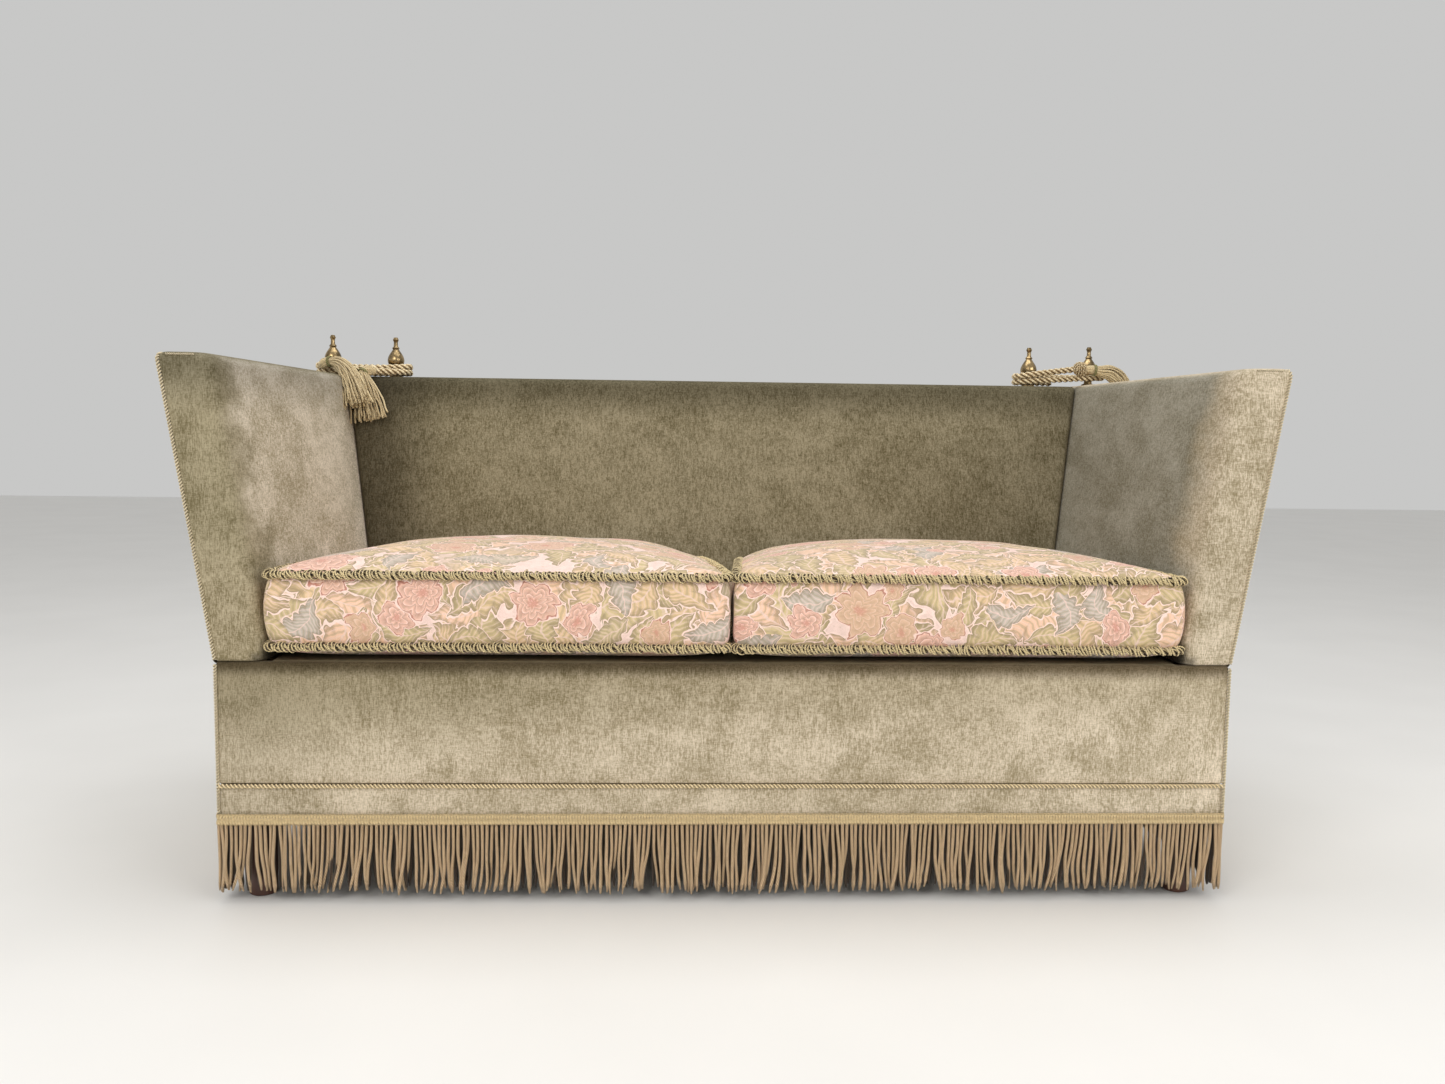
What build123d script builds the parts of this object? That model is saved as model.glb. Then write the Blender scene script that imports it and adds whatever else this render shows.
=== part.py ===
"""Knole sofa: a two-seater with arms that drop on hinges once their cords are slipped.

The front faces -Y, +Z is up, and the origin is under the middle of the sofa on the floor.
"""

import os
from math import cos, pi, radians, sin, sqrt, tan

from build123d import *

os.makedirs("parts", exist_ok=True)

# Overall sizes
base_width = 1450
seat_depth = 606
seam_height = 350
arm_height = 780
back_height = 777
arm_width = 71
arm_lean = 9
back_lean = 12.7
back_thickness = 90
cushion_proud = 6

# Clearances and overruns
seat_gap = 0.3
moving_gap = 2
overrun = 30

# Covers and the wooden seat frame
cover = 10
arm_cover = 5
ledge_cover = 4
rail_thickness = 25
rail_low = 120
rail_top = 320
ledger_width = 64
ledger_depth = 22
block_size = 55
brace_width = 60
foot_radius = 23
foot_tip_radius = 20
foot_bevel = 2
foot_inset = 45
dust_cover_thickness = 1.5

# Lower band, cords and fringe
band_low = 118
band_recess = 2
front_cord_height = 172
front_cord_radius = 3
piping_radius = 2.5
header_height = 14
header_thickness = 5
fringe_pitch = 12
strand_width = 6.4
fringe_tip = 16
fringe_uneven = 4
wave_step_shares = (1.7, 0.9)

# Seat platform
spring_count = 4
spring_wire = 4
spring_width = 46
spring_pitch = 56
hessian_thickness = 1.2
bend_share = 0.707

# Rounded edges
arm_edge_radius = 18
back_edge_radius = 12
border_edge_radius = 6
corner_rounding = 3

# Wooden members of the arms and of the back
arm_rail_width = 50
arm_rail_low = 354
arm_rail_depth = 46
arm_cap_cover = 15
arm_cap_depth = 45
arm_post_width = 30
arm_post_depth = 45
arm_frame_inset = 22
back_post_width = 30
back_post_depth = 40
back_post_foot = 25
back_post_inset = 140
back_cap_depth = 60
back_cap_cover = 12
back_cap_inset = 35

# Hinges of the arms
barrel_radius = 4
pin_radius = 2
pin_clearance = 0.08
barrel_stand = 0.5
leaf_thickness = 2
leaf_width = 40
hinge_length = 60
hinge_share = 1 / 3
hinge_end_inset = 70
knuckle_gap = 0.5
flap_thickness = 1.5
flap_gap = 2
flap_tab = 20

# Finials and the cords wound round them
finial_height = 78
finial_spacing = 123
stud_radius = 4
stud_length = 32
rope_radius = 5.25
rope_layer = 11.2
rope_wrap = 27
rope_lift = 0.6
wrap_samples = 260
knot_radius = 13
knot_half = 11.2
finial_radius = 16
finial_shares = (
    (0.80, 0.00),
    (0.80, 0.04),
    (0.50, 0.06),
    (0.45, 0.24),
    (0.80, 0.30),
    (1.00, 0.40),
    (0.94, 0.50),
    (0.62, 0.62),
    (0.36, 0.70),
    (0.46, 0.73),
    (0.26, 0.78),
    (0.24, 0.88),
    (0.36, 0.94),
    (0.22, 1.00),
)

# Loose cushions
cushion_gap = 9
cushion_corner = 30
cushion_pull = 2
cushion_trim_radius = 6
cord_sides = 8
tassel_sides = 12
trim_inset = 1.2
trim_low = 372
trim_high = 474
cushion_crown = 508
side_bulge = 10.2
bulge_shares = ((0.06, 0.25), (0.15, 0.51), (0.3, 0.84), (0.5, 1), (0.7, 0.84), (0.85, 0.51), (0.94, 0.25))
crown_inset_share = 0.264
crown_corner_share = 0.1287
belly_inset_share = 0.0957
belly_corner_share = 0.099
dome_steps = 6
dome_turn = 72

# Cord and tassel routes, counted outwards from the arm finial's middle, back from
# the near run of the cord, and up from the top of the arm; the last value is the radius
left_cord_start = (-8, -4, 26)
left_cord_end = (-93.6, -14, 6.85)
left_cord_bend = 18
right_cord_start = (-68, 54, 5.85)
right_cord_last = (-57.2, -4, 29)
right_cord_end = (-39.2, -6.5, 31.5)
right_cord_bend = 30
upper_tassel_line = (
    (-9.2, -4.2, 26.2, 5.25),
    (-22, -6, 28, 11),
    (-33, -10, 27, 8.5),
    (-43, -19, 21, 12),
    (-52, -40, 2, 14),
    (-58, -66, -28, 16),
    (-64, -82, -58, 18),
)
lower_tassel_line = (
    (-92.3, -14.5, 6.85, 5.25),
    (-86, -17, 6.85, 9.5),
    (-78, -22, 3.85, 8),
    (-75, -31, -9, 10),
    (-77, -43, -35, 13),
    (-82, -50, -65, 15),
    (-87, -58, -90, 17),
)
right_tassel_line = (
    (-22, -8, 31.5, 5.25),
    (-1, -9.5, 30, 5.25),
    (11, -11, 30, 11),
    (23, -11, 28, 8.5),
    (40, -10, 24, 12),
    (58, -8, 2, 13),
    (58, -6, -30, 15),
    (53, -6, -62, 17),
)

# Places worked out from the sizes above
half_width = base_width / 2
arm_run = tan(radians(arm_lean))
back_run = tan(radians(back_lean))
overall_depth = cushion_proud + seat_depth + (back_height - seam_height) * back_run + back_thickness
front = -overall_depth / 2 + cushion_proud
back_foot = front + seat_depth
base_back = back_foot + back_thickness
ledge_top = seam_height - seat_gap
arm_bottom = seam_height + seat_gap
axis_x = half_width + barrel_radius + barrel_stand
reach = overall_depth + base_width
arm_cap_top = arm_height - arm_cap_cover
arm_cap_low = arm_cap_top - arm_cap_depth
back_cap_top = back_height - back_cap_cover
back_cap_low = back_cap_top - arm_cap_depth
back_cap_half = half_width - back_cap_inset
back_post_place = half_width - back_post_inset


def arm_outer(height):
    """Distance of an arm's outer face from the middle of the sofa."""
    return half_width + (height - seam_height) * arm_run


def arm_inner(height):
    """Distance of an arm's inner face from the middle of the sofa."""
    return arm_outer(height) - arm_width


def back_face(height):
    """Depth of the back's front face, which leans backwards."""
    return back_foot + (height - seam_height) * back_run


def arm_section(side, outer_inset, inner_inset, low, high):
    """Corners of an upright slice through an arm, seen from the front."""
    return [
        (side * (arm_outer(low) - outer_inset), low),
        (side * (arm_outer(low) - inner_inset), low),
        (side * (arm_outer(high) - inner_inset), high),
        (side * (arm_outer(high) - outer_inset), high),
    ]


def arm_profile(front_inset, rear_inset, low, high):
    """Corners of an arm piece seen from the side: upright in front, leaning behind."""
    return [
        (front + front_inset, low),
        (back_face(low) + back_thickness - rear_inset, low),
        (back_face(high) + back_thickness - rear_inset, high),
        (front + front_inset, high),
    ]


def back_section(front_inset, depth, low, high):
    """Corners of a slice through the back, seen from the side."""
    return [
        (back_face(low) + front_inset, low),
        (back_face(low) + front_inset + depth, low),
        (back_face(high) + front_inset + depth, high),
        (back_face(high) + front_inset, high),
    ]


def back_front_outline(low, high):
    """Corners of the back seen from the front, between the leaning arms."""
    low_half = arm_inner(low) - moving_gap
    high_half = arm_inner(high) - moving_gap
    return [(-low_half, low), (low_half, low), (high_half, high), (-high_half, high)]


# Wooden seat frame
side_rail_face = half_width - cover
rail_front = front + cover
rail_back = base_back - cover
rail_middle = (rail_front + rail_back) / 2
rail_run = rail_back - rail_front - 2 * rail_thickness

for name, face, turn in (("front_rail", rail_front, 1), ("rear_rail", rail_back, -1)):
    with BuildPart() as rail:
        with BuildSketch(Plane.XY.offset(rail_low)):
            with Locations((0, face + turn * rail_thickness / 2)):
                Rectangle(2 * side_rail_face, rail_thickness)
        extrude(amount=rail_top - rail_low)
    rail.part.label = name
    export_step(rail.part, f"parts/{name}.step")

for side, name in ((-1, "left_rail"), (1, "right_rail")):
    with BuildPart() as rail:
        with BuildSketch(Plane.XZ.offset(-(rail_front + rail_thickness))):
            Polygon(
                (side * side_rail_face, rail_low),
                (side * side_rail_face, ledge_top - ledge_cover),
                (side * (side_rail_face - ledger_width), ledge_top - ledge_cover),
                (side * (side_rail_face - ledger_width), ledge_top - ledge_cover - ledger_depth),
                (side * (side_rail_face - rail_thickness), ledge_top - ledge_cover - ledger_depth),
                (side * (side_rail_face - rail_thickness), rail_low),
                align=None,
            )
        extrude(amount=-rail_run)
    rail.part.label = name
    export_step(rail.part, f"parts/{name}.step")

inner_corner_x = side_rail_face - rail_thickness
block_top = rail_low + 2 * brace_width
with BuildPart() as frame_braces:
    with BuildSketch(Plane.XY.offset(rail_low)):
        with Locations((0, rail_middle)):
            Rectangle(rail_thickness, rail_run)
    extrude(amount=brace_width)
    for side in (-1, 1):
        for corner_y, turn in ((rail_front + rail_thickness, 1), (rail_back - rail_thickness, -1)):
            with BuildSketch(Plane.XY.offset(rail_low)):
                Polygon(
                    (side * inner_corner_x, corner_y),
                    (side * (inner_corner_x - block_size), corner_y),
                    (side * inner_corner_x, corner_y + turn * block_size),
                    align=None,
                )
            extrude(amount=block_top - rail_low)
frame_braces.part.label = "frame_braces"
export_step(frame_braces.part, "parts/frame_braces.step")

# Turned feet, hidden behind the fringe but for their tips
foot_x = half_width - foot_inset
foot_front = front + foot_inset
foot_back = base_back - foot_inset
feet = (
    ("left_front_foot", -foot_x, foot_front),
    ("right_front_foot", foot_x, foot_front),
    ("left_rear_foot", -foot_x, foot_back),
    ("right_rear_foot", foot_x, foot_back),
)
for name, x, y in feet:
    with BuildPart() as foot:
        with BuildSketch(Plane(origin=(x, y, 0), x_dir=(1, 0, 0), z_dir=(0, -1, 0))):
            Polygon(
                (0, 0),
                (foot_tip_radius - foot_bevel, 0),
                (foot_tip_radius, foot_bevel),
                (foot_radius, rail_low - foot_bevel),
                (foot_radius - foot_bevel, rail_low),
                (0, rail_low),
                align=None,
            )
        revolve(axis=Axis((x, y, 0), (0, 0, 1)))
    foot.part.label = name
    export_step(foot.part, f"parts/{name}.step")

with BuildPart() as dust_cover:
    with BuildSketch(Plane.XY.offset(rail_low)):
        with Locations((0, rail_middle)):
            Rectangle(2 * side_rail_face, rail_back - rail_front)
        for _name, x, y in feet:
            with Locations((x, y)):
                Circle(foot_radius + seat_gap, mode=Mode.SUBTRACT)
    extrude(amount=-dust_cover_thickness)
dust_cover.part.label = "dust_cover"
export_step(dust_cover.part, "parts/dust_cover.step")

# Zigzag springs, each one bent wire from the front rail to the rear rail
spring_start = rail_front + rail_thickness / 2
spring_run = rail_back - rail_front - rail_thickness
bar_count = int(spring_run / spring_pitch)
bar_step = spring_run / bar_count
bar_half = spring_width / 2
spring_gap = 2 * (inner_corner_x - ledger_width) / spring_count
bend = bar_step / 2
with BuildPart() as seat_springs:
    for number in range(spring_count):
        middle = (number - (spring_count - 1) / 2) * spring_gap
        points = [(middle + bar_half, spring_start)]
        for bar in range(bar_count):
            y = spring_start + bar * bar_step
            turn = -1 if bar % 2 else 1
            end = middle - turn * bar_half
            points += [
                (end, y),
                (end - turn * bend * bend_share, y + bend * (1 - bend_share)),
                (end - turn * bend * bend_share, y + bend * (1 + bend_share)),
                (end, y + bar_step),
            ]
        points.append((middle + (bar_half if bar_count % 2 else -bar_half), spring_start + spring_run))
        with BuildLine(Plane.XY.offset(rail_top + spring_wire / 2)) as wire:
            Polyline(*points)
        with BuildSketch(Plane(origin=wire.line @ 0, x_dir=(0, 0, 1), z_dir=wire.line % 0)):
            Rectangle(spring_wire, spring_wire)
        sweep(path=wire.wire(), transition=Transition.RIGHT)
seat_springs.part.label = "seat_springs"
export_step(seat_springs.part, "parts/seat_springs.step")

hessian_low = rail_top + spring_wire
deck_low = hessian_low + hessian_thickness
deck_front = front + cover
deck_half = arm_inner(seam_height) - moving_gap
with BuildPart() as hessian:
    with BuildSketch(Plane.XY.offset(hessian_low)):
        with Locations((0, (rail_front + back_foot) / 2)):
            Rectangle(2 * (inner_corner_x - ledger_width), back_foot - rail_front)
    extrude(amount=hessian_thickness)
hessian.part.label = "hessian"
export_step(hessian.part, "parts/hessian.step")

with BuildPart() as seat_deck:
    with BuildSketch(Plane.XY.offset(deck_low)):
        with Locations((0, (deck_front + back_foot - moving_gap) / 2)):
            Rectangle(2 * (inner_corner_x - ledger_width), back_foot - moving_gap - deck_front)
    extrude(amount=seam_height - deck_low)
seat_deck.part.label = "seat_deck"
export_step(seat_deck.part, "parts/seat_deck.step")

# Covers of the seat base
with BuildPart() as front_border:
    with BuildSketch(Plane.XZ.offset(-front)):
        with Locations((0, (front_cord_height + ledge_top) / 2)):
            Rectangle(base_width, ledge_top - front_cord_height)
    extrude(amount=-cover)
    front_edges = front_border.edges().filter_by_position(Axis.Y, front, front)
    upper_front = front_edges.filter_by(Axis.X).sort_by(Axis.Z)[-1:]
    fillet(front_edges.filter_by(Axis.Z) + upper_front, radius=border_edge_radius)
    with BuildSketch(Plane.YZ.offset(-reach)):
        with Locations((front + band_recess / 2, front_cord_height)):
            Circle(front_cord_radius + seat_gap)
    extrude(amount=2 * reach, mode=Mode.SUBTRACT)
front_border.part.label = "front_border"
export_step(front_border.part, "parts/front_border.step")

with BuildPart() as front_band:
    with BuildSketch(Plane.XZ.offset(-(front + band_recess))):
        with Locations((0, (front_cord_height + band_low) / 2)):
            Rectangle(base_width - 2 * band_recess, front_cord_height - band_low)
    extrude(amount=-(cover - band_recess))
    with BuildSketch(Plane.YZ.offset(-reach)):
        with Locations((front + band_recess / 2, front_cord_height)):
            Circle(front_cord_radius + seat_gap)
    extrude(amount=2 * reach, mode=Mode.SUBTRACT)
front_band.part.label = "front_band"
export_step(front_band.part, "parts/front_band.step")

with BuildPart() as front_cord:
    with BuildSketch(Plane.YZ.offset(-half_width + border_edge_radius)):
        with Locations((front + band_recess / 2, front_cord_height)):
            Circle(front_cord_radius)
    extrude(amount=base_width - 2 * border_edge_radius)
front_cord.part.label = "front_cord"
export_step(front_cord.part, "parts/front_cord.step")

hinge_run = base_back - front - 2 * hinge_end_inset - hinge_length
hinge_starts = [front + hinge_end_inset + hinge_run * place / 2 for place in range(3)]
leaf_inner = half_width - leaf_width
ledge_end = deck_half + moving_gap / 2

for side, name in ((-1, "left_base_cover"), (1, "right_base_cover")):
    with BuildPart() as base_cover:
        with BuildSketch(Plane.XZ.offset(-(front + cover))):
            Polygon(
                (side * half_width, band_low),
                (side * half_width, ledge_top),
                (side * ledge_end, ledge_top),
                (side * ledge_end, ledge_top - ledge_cover),
                (side * side_rail_face, ledge_top - ledge_cover),
                (side * side_rail_face, band_low),
                align=None,
            )
        extrude(amount=-(base_back - front - 2 * cover))
        for start in hinge_starts:
            with BuildSketch(Plane.XY.offset(ledge_top - ledge_cover)):
                with Locations((side * (leaf_inner + overrun / 2), start + hinge_length / 2)):
                    Rectangle(leaf_width + overrun, hinge_length + 2 * seat_gap)
            extrude(amount=overrun, mode=Mode.SUBTRACT)
    base_cover.part.label = name
    export_step(base_cover.part, f"parts/{name}.step")

# Piping down the corners of the base, in notches of their own
piping_low = band_low + header_height + seat_gap
piping_top = ledge_top - border_edge_radius
with BuildPart() as corner_piping:
    for side in (-1, 1):
        for corner_y in (front, base_back):
            with BuildSketch(Plane.XY.offset(piping_low)):
                with Locations((side * (half_width + piping_radius), corner_y)):
                    Circle(piping_radius)
            extrude(amount=piping_top - piping_low)
corner_piping.part.label = "corner_piping"
export_step(corner_piping.part, "parts/corner_piping.step")


# Bullion fringe: a braided header with strands hanging from it
def fringe_outline(length):
    """Corners of a fringe laid flat, with the strand ends slightly uneven."""
    count = round(length / fringe_pitch)
    step = length / count
    head = band_low + header_height
    first_share, second_share = wave_step_shares
    points = [(length / 2, band_low), (length / 2, head), (-length / 2, head), (-length / 2, band_low)]
    for number in range(count):
        left = -length / 2 + (number + 0.5) * step - strand_width / 2
        wave = sin(number * first_share) + sin(number * number * second_share)
        tip = fringe_tip + fringe_uneven * wave / 2
        points += [
            (left, band_low),
            (left, tip),
            (left + strand_width, tip),
            (left + strand_width, band_low),
        ]
    return points


fringe_middle = (front + base_back) / 2
side_fringe = base_back - front
fringes = (
    ("front_fringe", Plane.XZ.offset(-(front + band_recess)), base_width, 0, header_thickness),
    ("rear_fringe", Plane.XZ.offset(-(base_back + header_thickness)), base_width, 0, header_thickness),
    ("left_fringe", Plane.YZ.offset(-half_width), side_fringe, fringe_middle, -header_thickness),
    ("right_fringe", Plane.YZ.offset(half_width), side_fringe, fringe_middle, header_thickness),
)
for name, plane, length, middle, thickness in fringes:
    with BuildPart() as fringe:
        with BuildSketch(plane):
            with Locations((middle, 0)):
                Polygon(*fringe_outline(length), align=None)
        extrude(amount=thickness)
    fringe.part.label = name
    export_step(fringe.part, f"parts/{name}.step")

# Wooden frame of the back
back_cover_inset = back_thickness - arm_cover
post_front = back_cover_inset - back_post_depth
cap_front = back_cover_inset - back_cap_depth
rail_inside = rail_back - rail_thickness
for side, name in ((-1, "left_back_post"), (1, "right_back_post")):
    with BuildPart() as back_post:
        with BuildSketch(Plane.YZ.offset(side * back_post_place - back_post_width / 2)):
            Polygon(
                (rail_inside - back_post_foot, rail_low),
                (rail_inside, rail_low),
                (rail_inside, rail_top),
                (rail_back, rail_top),
                (rail_back, seam_height),
                (back_face(seam_height) + back_cover_inset, seam_height),
                (back_face(back_cap_low) + back_cover_inset, back_cap_low),
                (back_face(back_cap_low) + post_front, back_cap_low),
                (back_face(seam_height) + post_front, seam_height),
                (rail_inside - back_post_foot, rail_top - back_post_foot),
                align=None,
            )
        extrude(amount=back_post_width)
    back_post.part.label = name
    export_step(back_post.part, f"parts/{name}.step")

with BuildPart() as back_cap_rail:
    with BuildSketch(Plane.YZ):
        Polygon(*back_section(cap_front, back_cap_depth, back_cap_low, back_cap_top), align=None)
    extrude(amount=back_cap_half, both=True)
    with BuildSketch(Plane.XZ):
        Polygon(*back_front_outline(back_cap_low, back_cap_top), align=None)
    extrude(amount=reach, both=True, mode=Mode.INTERSECT)
    finial_y = back_face(back_height) + back_thickness / 2
    arm_finial_x = arm_outer(arm_height) - arm_width / 2
    back_finial_x = arm_finial_x - finial_spacing
    with BuildSketch(Plane.XY.offset(back_height)):
        with Locations((-back_finial_x, finial_y), (back_finial_x, finial_y)):
            Circle(stud_radius)
    extrude(amount=-stud_length, mode=Mode.SUBTRACT)
back_cap_rail.part.label = "back_cap_rail"
export_step(back_cap_rail.part, "parts/back_cap_rail.step")

# Padded back, stuffed round its posts and cap rail
with BuildPart() as back_pad:
    with BuildSketch(Plane.YZ):
        Polygon(*back_section(0, back_cover_inset, arm_bottom, back_height), align=None)
    extrude(amount=reach, both=True)
    with BuildSketch(Plane.XZ):
        Polygon(*back_front_outline(arm_bottom, back_height), align=None)
    extrude(amount=reach, both=True, mode=Mode.INTERSECT)
    pad_edges = back_pad.edges()
    low_half = arm_inner(arm_bottom) - moving_gap
    high_half = arm_inner(back_height) - moving_gap
    mid_half = (low_half + high_half) / 2
    mid_face = (back_face(arm_bottom) + back_face(back_height)) / 2
    mid_height = (arm_bottom + back_height) / 2
    rounded = [
        pad_edges.sort_by_distance((0, back_face(back_height), back_height))[0],
        pad_edges.sort_by_distance((-mid_half, mid_face, mid_height))[0],
        pad_edges.sort_by_distance((mid_half, mid_face, mid_height))[0],
    ]
    fillet(rounded, radius=back_edge_radius)
    with BuildSketch(Plane.YZ):
        Polygon(*back_section(cap_front, back_cap_depth, back_cap_low, back_cap_top), align=None)
    extrude(amount=back_cap_half, both=True, mode=Mode.SUBTRACT)
    for side in (-1, 1):
        with BuildSketch(Plane.YZ.offset(side * back_post_place - back_post_width / 2)):
            Polygon(*back_section(post_front, back_post_depth, seam_height, back_cap_low), align=None)
        extrude(amount=back_post_width, mode=Mode.SUBTRACT)
    with BuildSketch(Plane.XY.offset(back_height)):
        with Locations((-back_finial_x, finial_y), (back_finial_x, finial_y)):
            Circle(stud_radius)
    extrude(amount=-stud_length, mode=Mode.SUBTRACT)
back_pad.part.label = "back_pad"
export_step(back_pad.part, "parts/back_pad.step")

# Outside back: leaning between the arms, upright below the seam
with BuildPart() as outside_back:
    with BuildSketch(Plane.YZ):
        Polygon(*back_section(back_cover_inset, arm_cover, arm_bottom, back_height), align=None)
    extrude(amount=reach, both=True)
    with BuildSketch(Plane.XZ):
        Polygon(*back_front_outline(arm_bottom, back_height), align=None)
    extrude(amount=reach, both=True, mode=Mode.INTERSECT)
outside_back.part.label = "outside_back"
export_step(outside_back.part, "parts/outside_back.step")

with BuildPart() as rear_border:
    with BuildSketch(Plane.XZ.offset(-base_back)):
        with Locations((0, (band_low + ledge_top) / 2)):
            Rectangle(base_width, ledge_top - band_low)
    extrude(amount=cover)
    rear_edges = rear_border.edges().filter_by_position(Axis.Y, base_back, base_back)
    fillet(rear_edges.filter_by(Axis.Z), radius=corner_rounding)
rear_border.part.label = "rear_border"
export_step(rear_border.part, "parts/rear_border.step")


def finial_outline(height):
    """Half outline of a turned finial standing at a height, from its foot to its tip."""
    return [(finial_radius * wide, height + finial_height * up) for wide, up in finial_shares]


finials = (
    ("left_back_finial", -back_finial_x, back_height),
    ("right_back_finial", back_finial_x, back_height),
    ("left_arm_finial", -arm_finial_x, arm_height),
    ("right_arm_finial", arm_finial_x, arm_height),
)
for name, x, base in finials:
    outline = finial_outline(base)
    with BuildPart() as finial:
        with BuildSketch(Plane(origin=(x, finial_y, 0), x_dir=(1, 0, 0), z_dir=(0, -1, 0))):
            with BuildLine():
                Polyline(
                    (0, base - stud_length),
                    (stud_radius - pin_clearance, base - stud_length),
                    (stud_radius - pin_clearance, base),
                    *outline[:4],
                )
                Spline(*outline[3:9])
                Polyline(*outline[8:], (0, base + finial_height), (0, base - stud_length))
            make_face()
        revolve(axis=Axis((x, finial_y, 0), (0, 0, 1)))
    finial.part.label = name
    export_step(finial.part, f"parts/{name}.step")

# Drop hinges: three butt hinges under each arm, their barrels just outside the seam
for side, hand in ((-1, "left"), (1, "right")):
    with BuildPart() as base_leaves:
        for start in hinge_starts:
            with BuildSketch(Plane.XZ.offset(-start)):
                Polygon(
                    (side * leaf_inner, seam_height - barrel_radius),
                    (side * half_width, seam_height - barrel_radius),
                    (side * half_width, seam_height - barrel_radius + leaf_thickness),
                    (side * leaf_inner, seam_height - barrel_radius + leaf_thickness),
                    align=None,
                )
            extrude(amount=-hinge_length)
            for share in (0, 1 - hinge_share):
                with BuildSketch(Plane.XZ.offset(-(start + hinge_length * share))):
                    with Locations((side * axis_x, seam_height)):
                        Circle(barrel_radius)
                    Polygon(
                        (side * half_width, seam_height - barrel_radius),
                        (side * axis_x, seam_height - barrel_radius),
                        (side * axis_x, seam_height - barrel_radius + leaf_thickness),
                        (side * half_width, seam_height - barrel_radius + leaf_thickness),
                        align=None,
                    )
                extrude(amount=-hinge_length * hinge_share)
            with BuildSketch(Plane.XZ.offset(-start)):
                with Locations((side * axis_x, seam_height)):
                    Circle(pin_radius)
            extrude(amount=-hinge_length)
    base_leaves.part.label = f"{hand}_hinge_base_leaves"
    export_step(base_leaves.part, f"parts/{hand}_hinge_base_leaves.step")

    with BuildPart() as arm_leaves:
        for start in hinge_starts:
            with BuildSketch(Plane.XZ.offset(-start)):
                Polygon(
                    (side * leaf_inner, seam_height + barrel_radius),
                    (side * half_width, seam_height + barrel_radius),
                    (side * half_width, seam_height + barrel_radius - leaf_thickness),
                    (side * leaf_inner, seam_height + barrel_radius - leaf_thickness),
                    align=None,
                )
            extrude(amount=-hinge_length)
            knuckle_start = start + hinge_length * hinge_share + knuckle_gap
            with BuildSketch(Plane.XZ.offset(-knuckle_start)):
                with Locations((side * axis_x, seam_height)):
                    Circle(barrel_radius)
                Polygon(
                    (side * half_width, seam_height + barrel_radius),
                    (side * axis_x, seam_height + barrel_radius),
                    (side * axis_x, seam_height + barrel_radius - leaf_thickness),
                    (side * half_width, seam_height + barrel_radius - leaf_thickness),
                    align=None,
                )
                with Locations((side * axis_x, seam_height)):
                    Circle(pin_radius + pin_clearance, mode=Mode.SUBTRACT)
            extrude(amount=-(hinge_length * hinge_share - 2 * knuckle_gap))
    arm_leaves.part.label = f"{hand}_hinge_arm_leaves"
    export_step(arm_leaves.part, f"parts/{hand}_hinge_arm_leaves.step")

    flap_radius = barrel_radius + flap_gap
    tab_inner = half_width + seat_gap
    with BuildPart() as hinge_flap:
        with BuildSketch(Plane.XZ.offset(-(front + arm_frame_inset))):
            with Locations((side * axis_x, seam_height)):
                Circle(flap_radius + flap_thickness)
                Circle(flap_radius, mode=Mode.SUBTRACT)
            Polygon(
                (side * tab_inner, seam_height - overrun),
                (side * tab_inner, seam_height),
                (side * (arm_outer(seam_height + overrun) + seat_gap), seam_height + overrun),
                (side * leaf_inner, seam_height + overrun),
                (side * leaf_inner, seam_height - overrun),
                align=None,
                mode=Mode.SUBTRACT,
            )
            Polygon(
                (side * tab_inner, seam_height - barrel_radius),
                (side * (tab_inner + flap_thickness), seam_height - barrel_radius),
                (side * (tab_inner + flap_thickness), seam_height - flap_tab),
                (side * tab_inner, seam_height - flap_tab),
                align=None,
            )
            Polygon(
                (side * (tab_inner + barrel_radius * arm_run), seam_height + barrel_radius),
                (side * (arm_outer(seam_height + flap_tab) + seat_gap), seam_height + flap_tab),
                (
                    side * (arm_outer(seam_height + flap_tab) + seat_gap + flap_thickness),
                    seam_height + flap_tab,
                ),
                (
                    side * (tab_inner + barrel_radius * arm_run + flap_thickness),
                    seam_height + barrel_radius,
                ),
                align=None,
            )
        extrude(amount=-(base_back - front - 2 * arm_frame_inset))
    hinge_flap.part.label = f"{hand}_hinge_flap"
    export_step(hinge_flap.part, f"parts/{hand}_hinge_flap.step")

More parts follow.
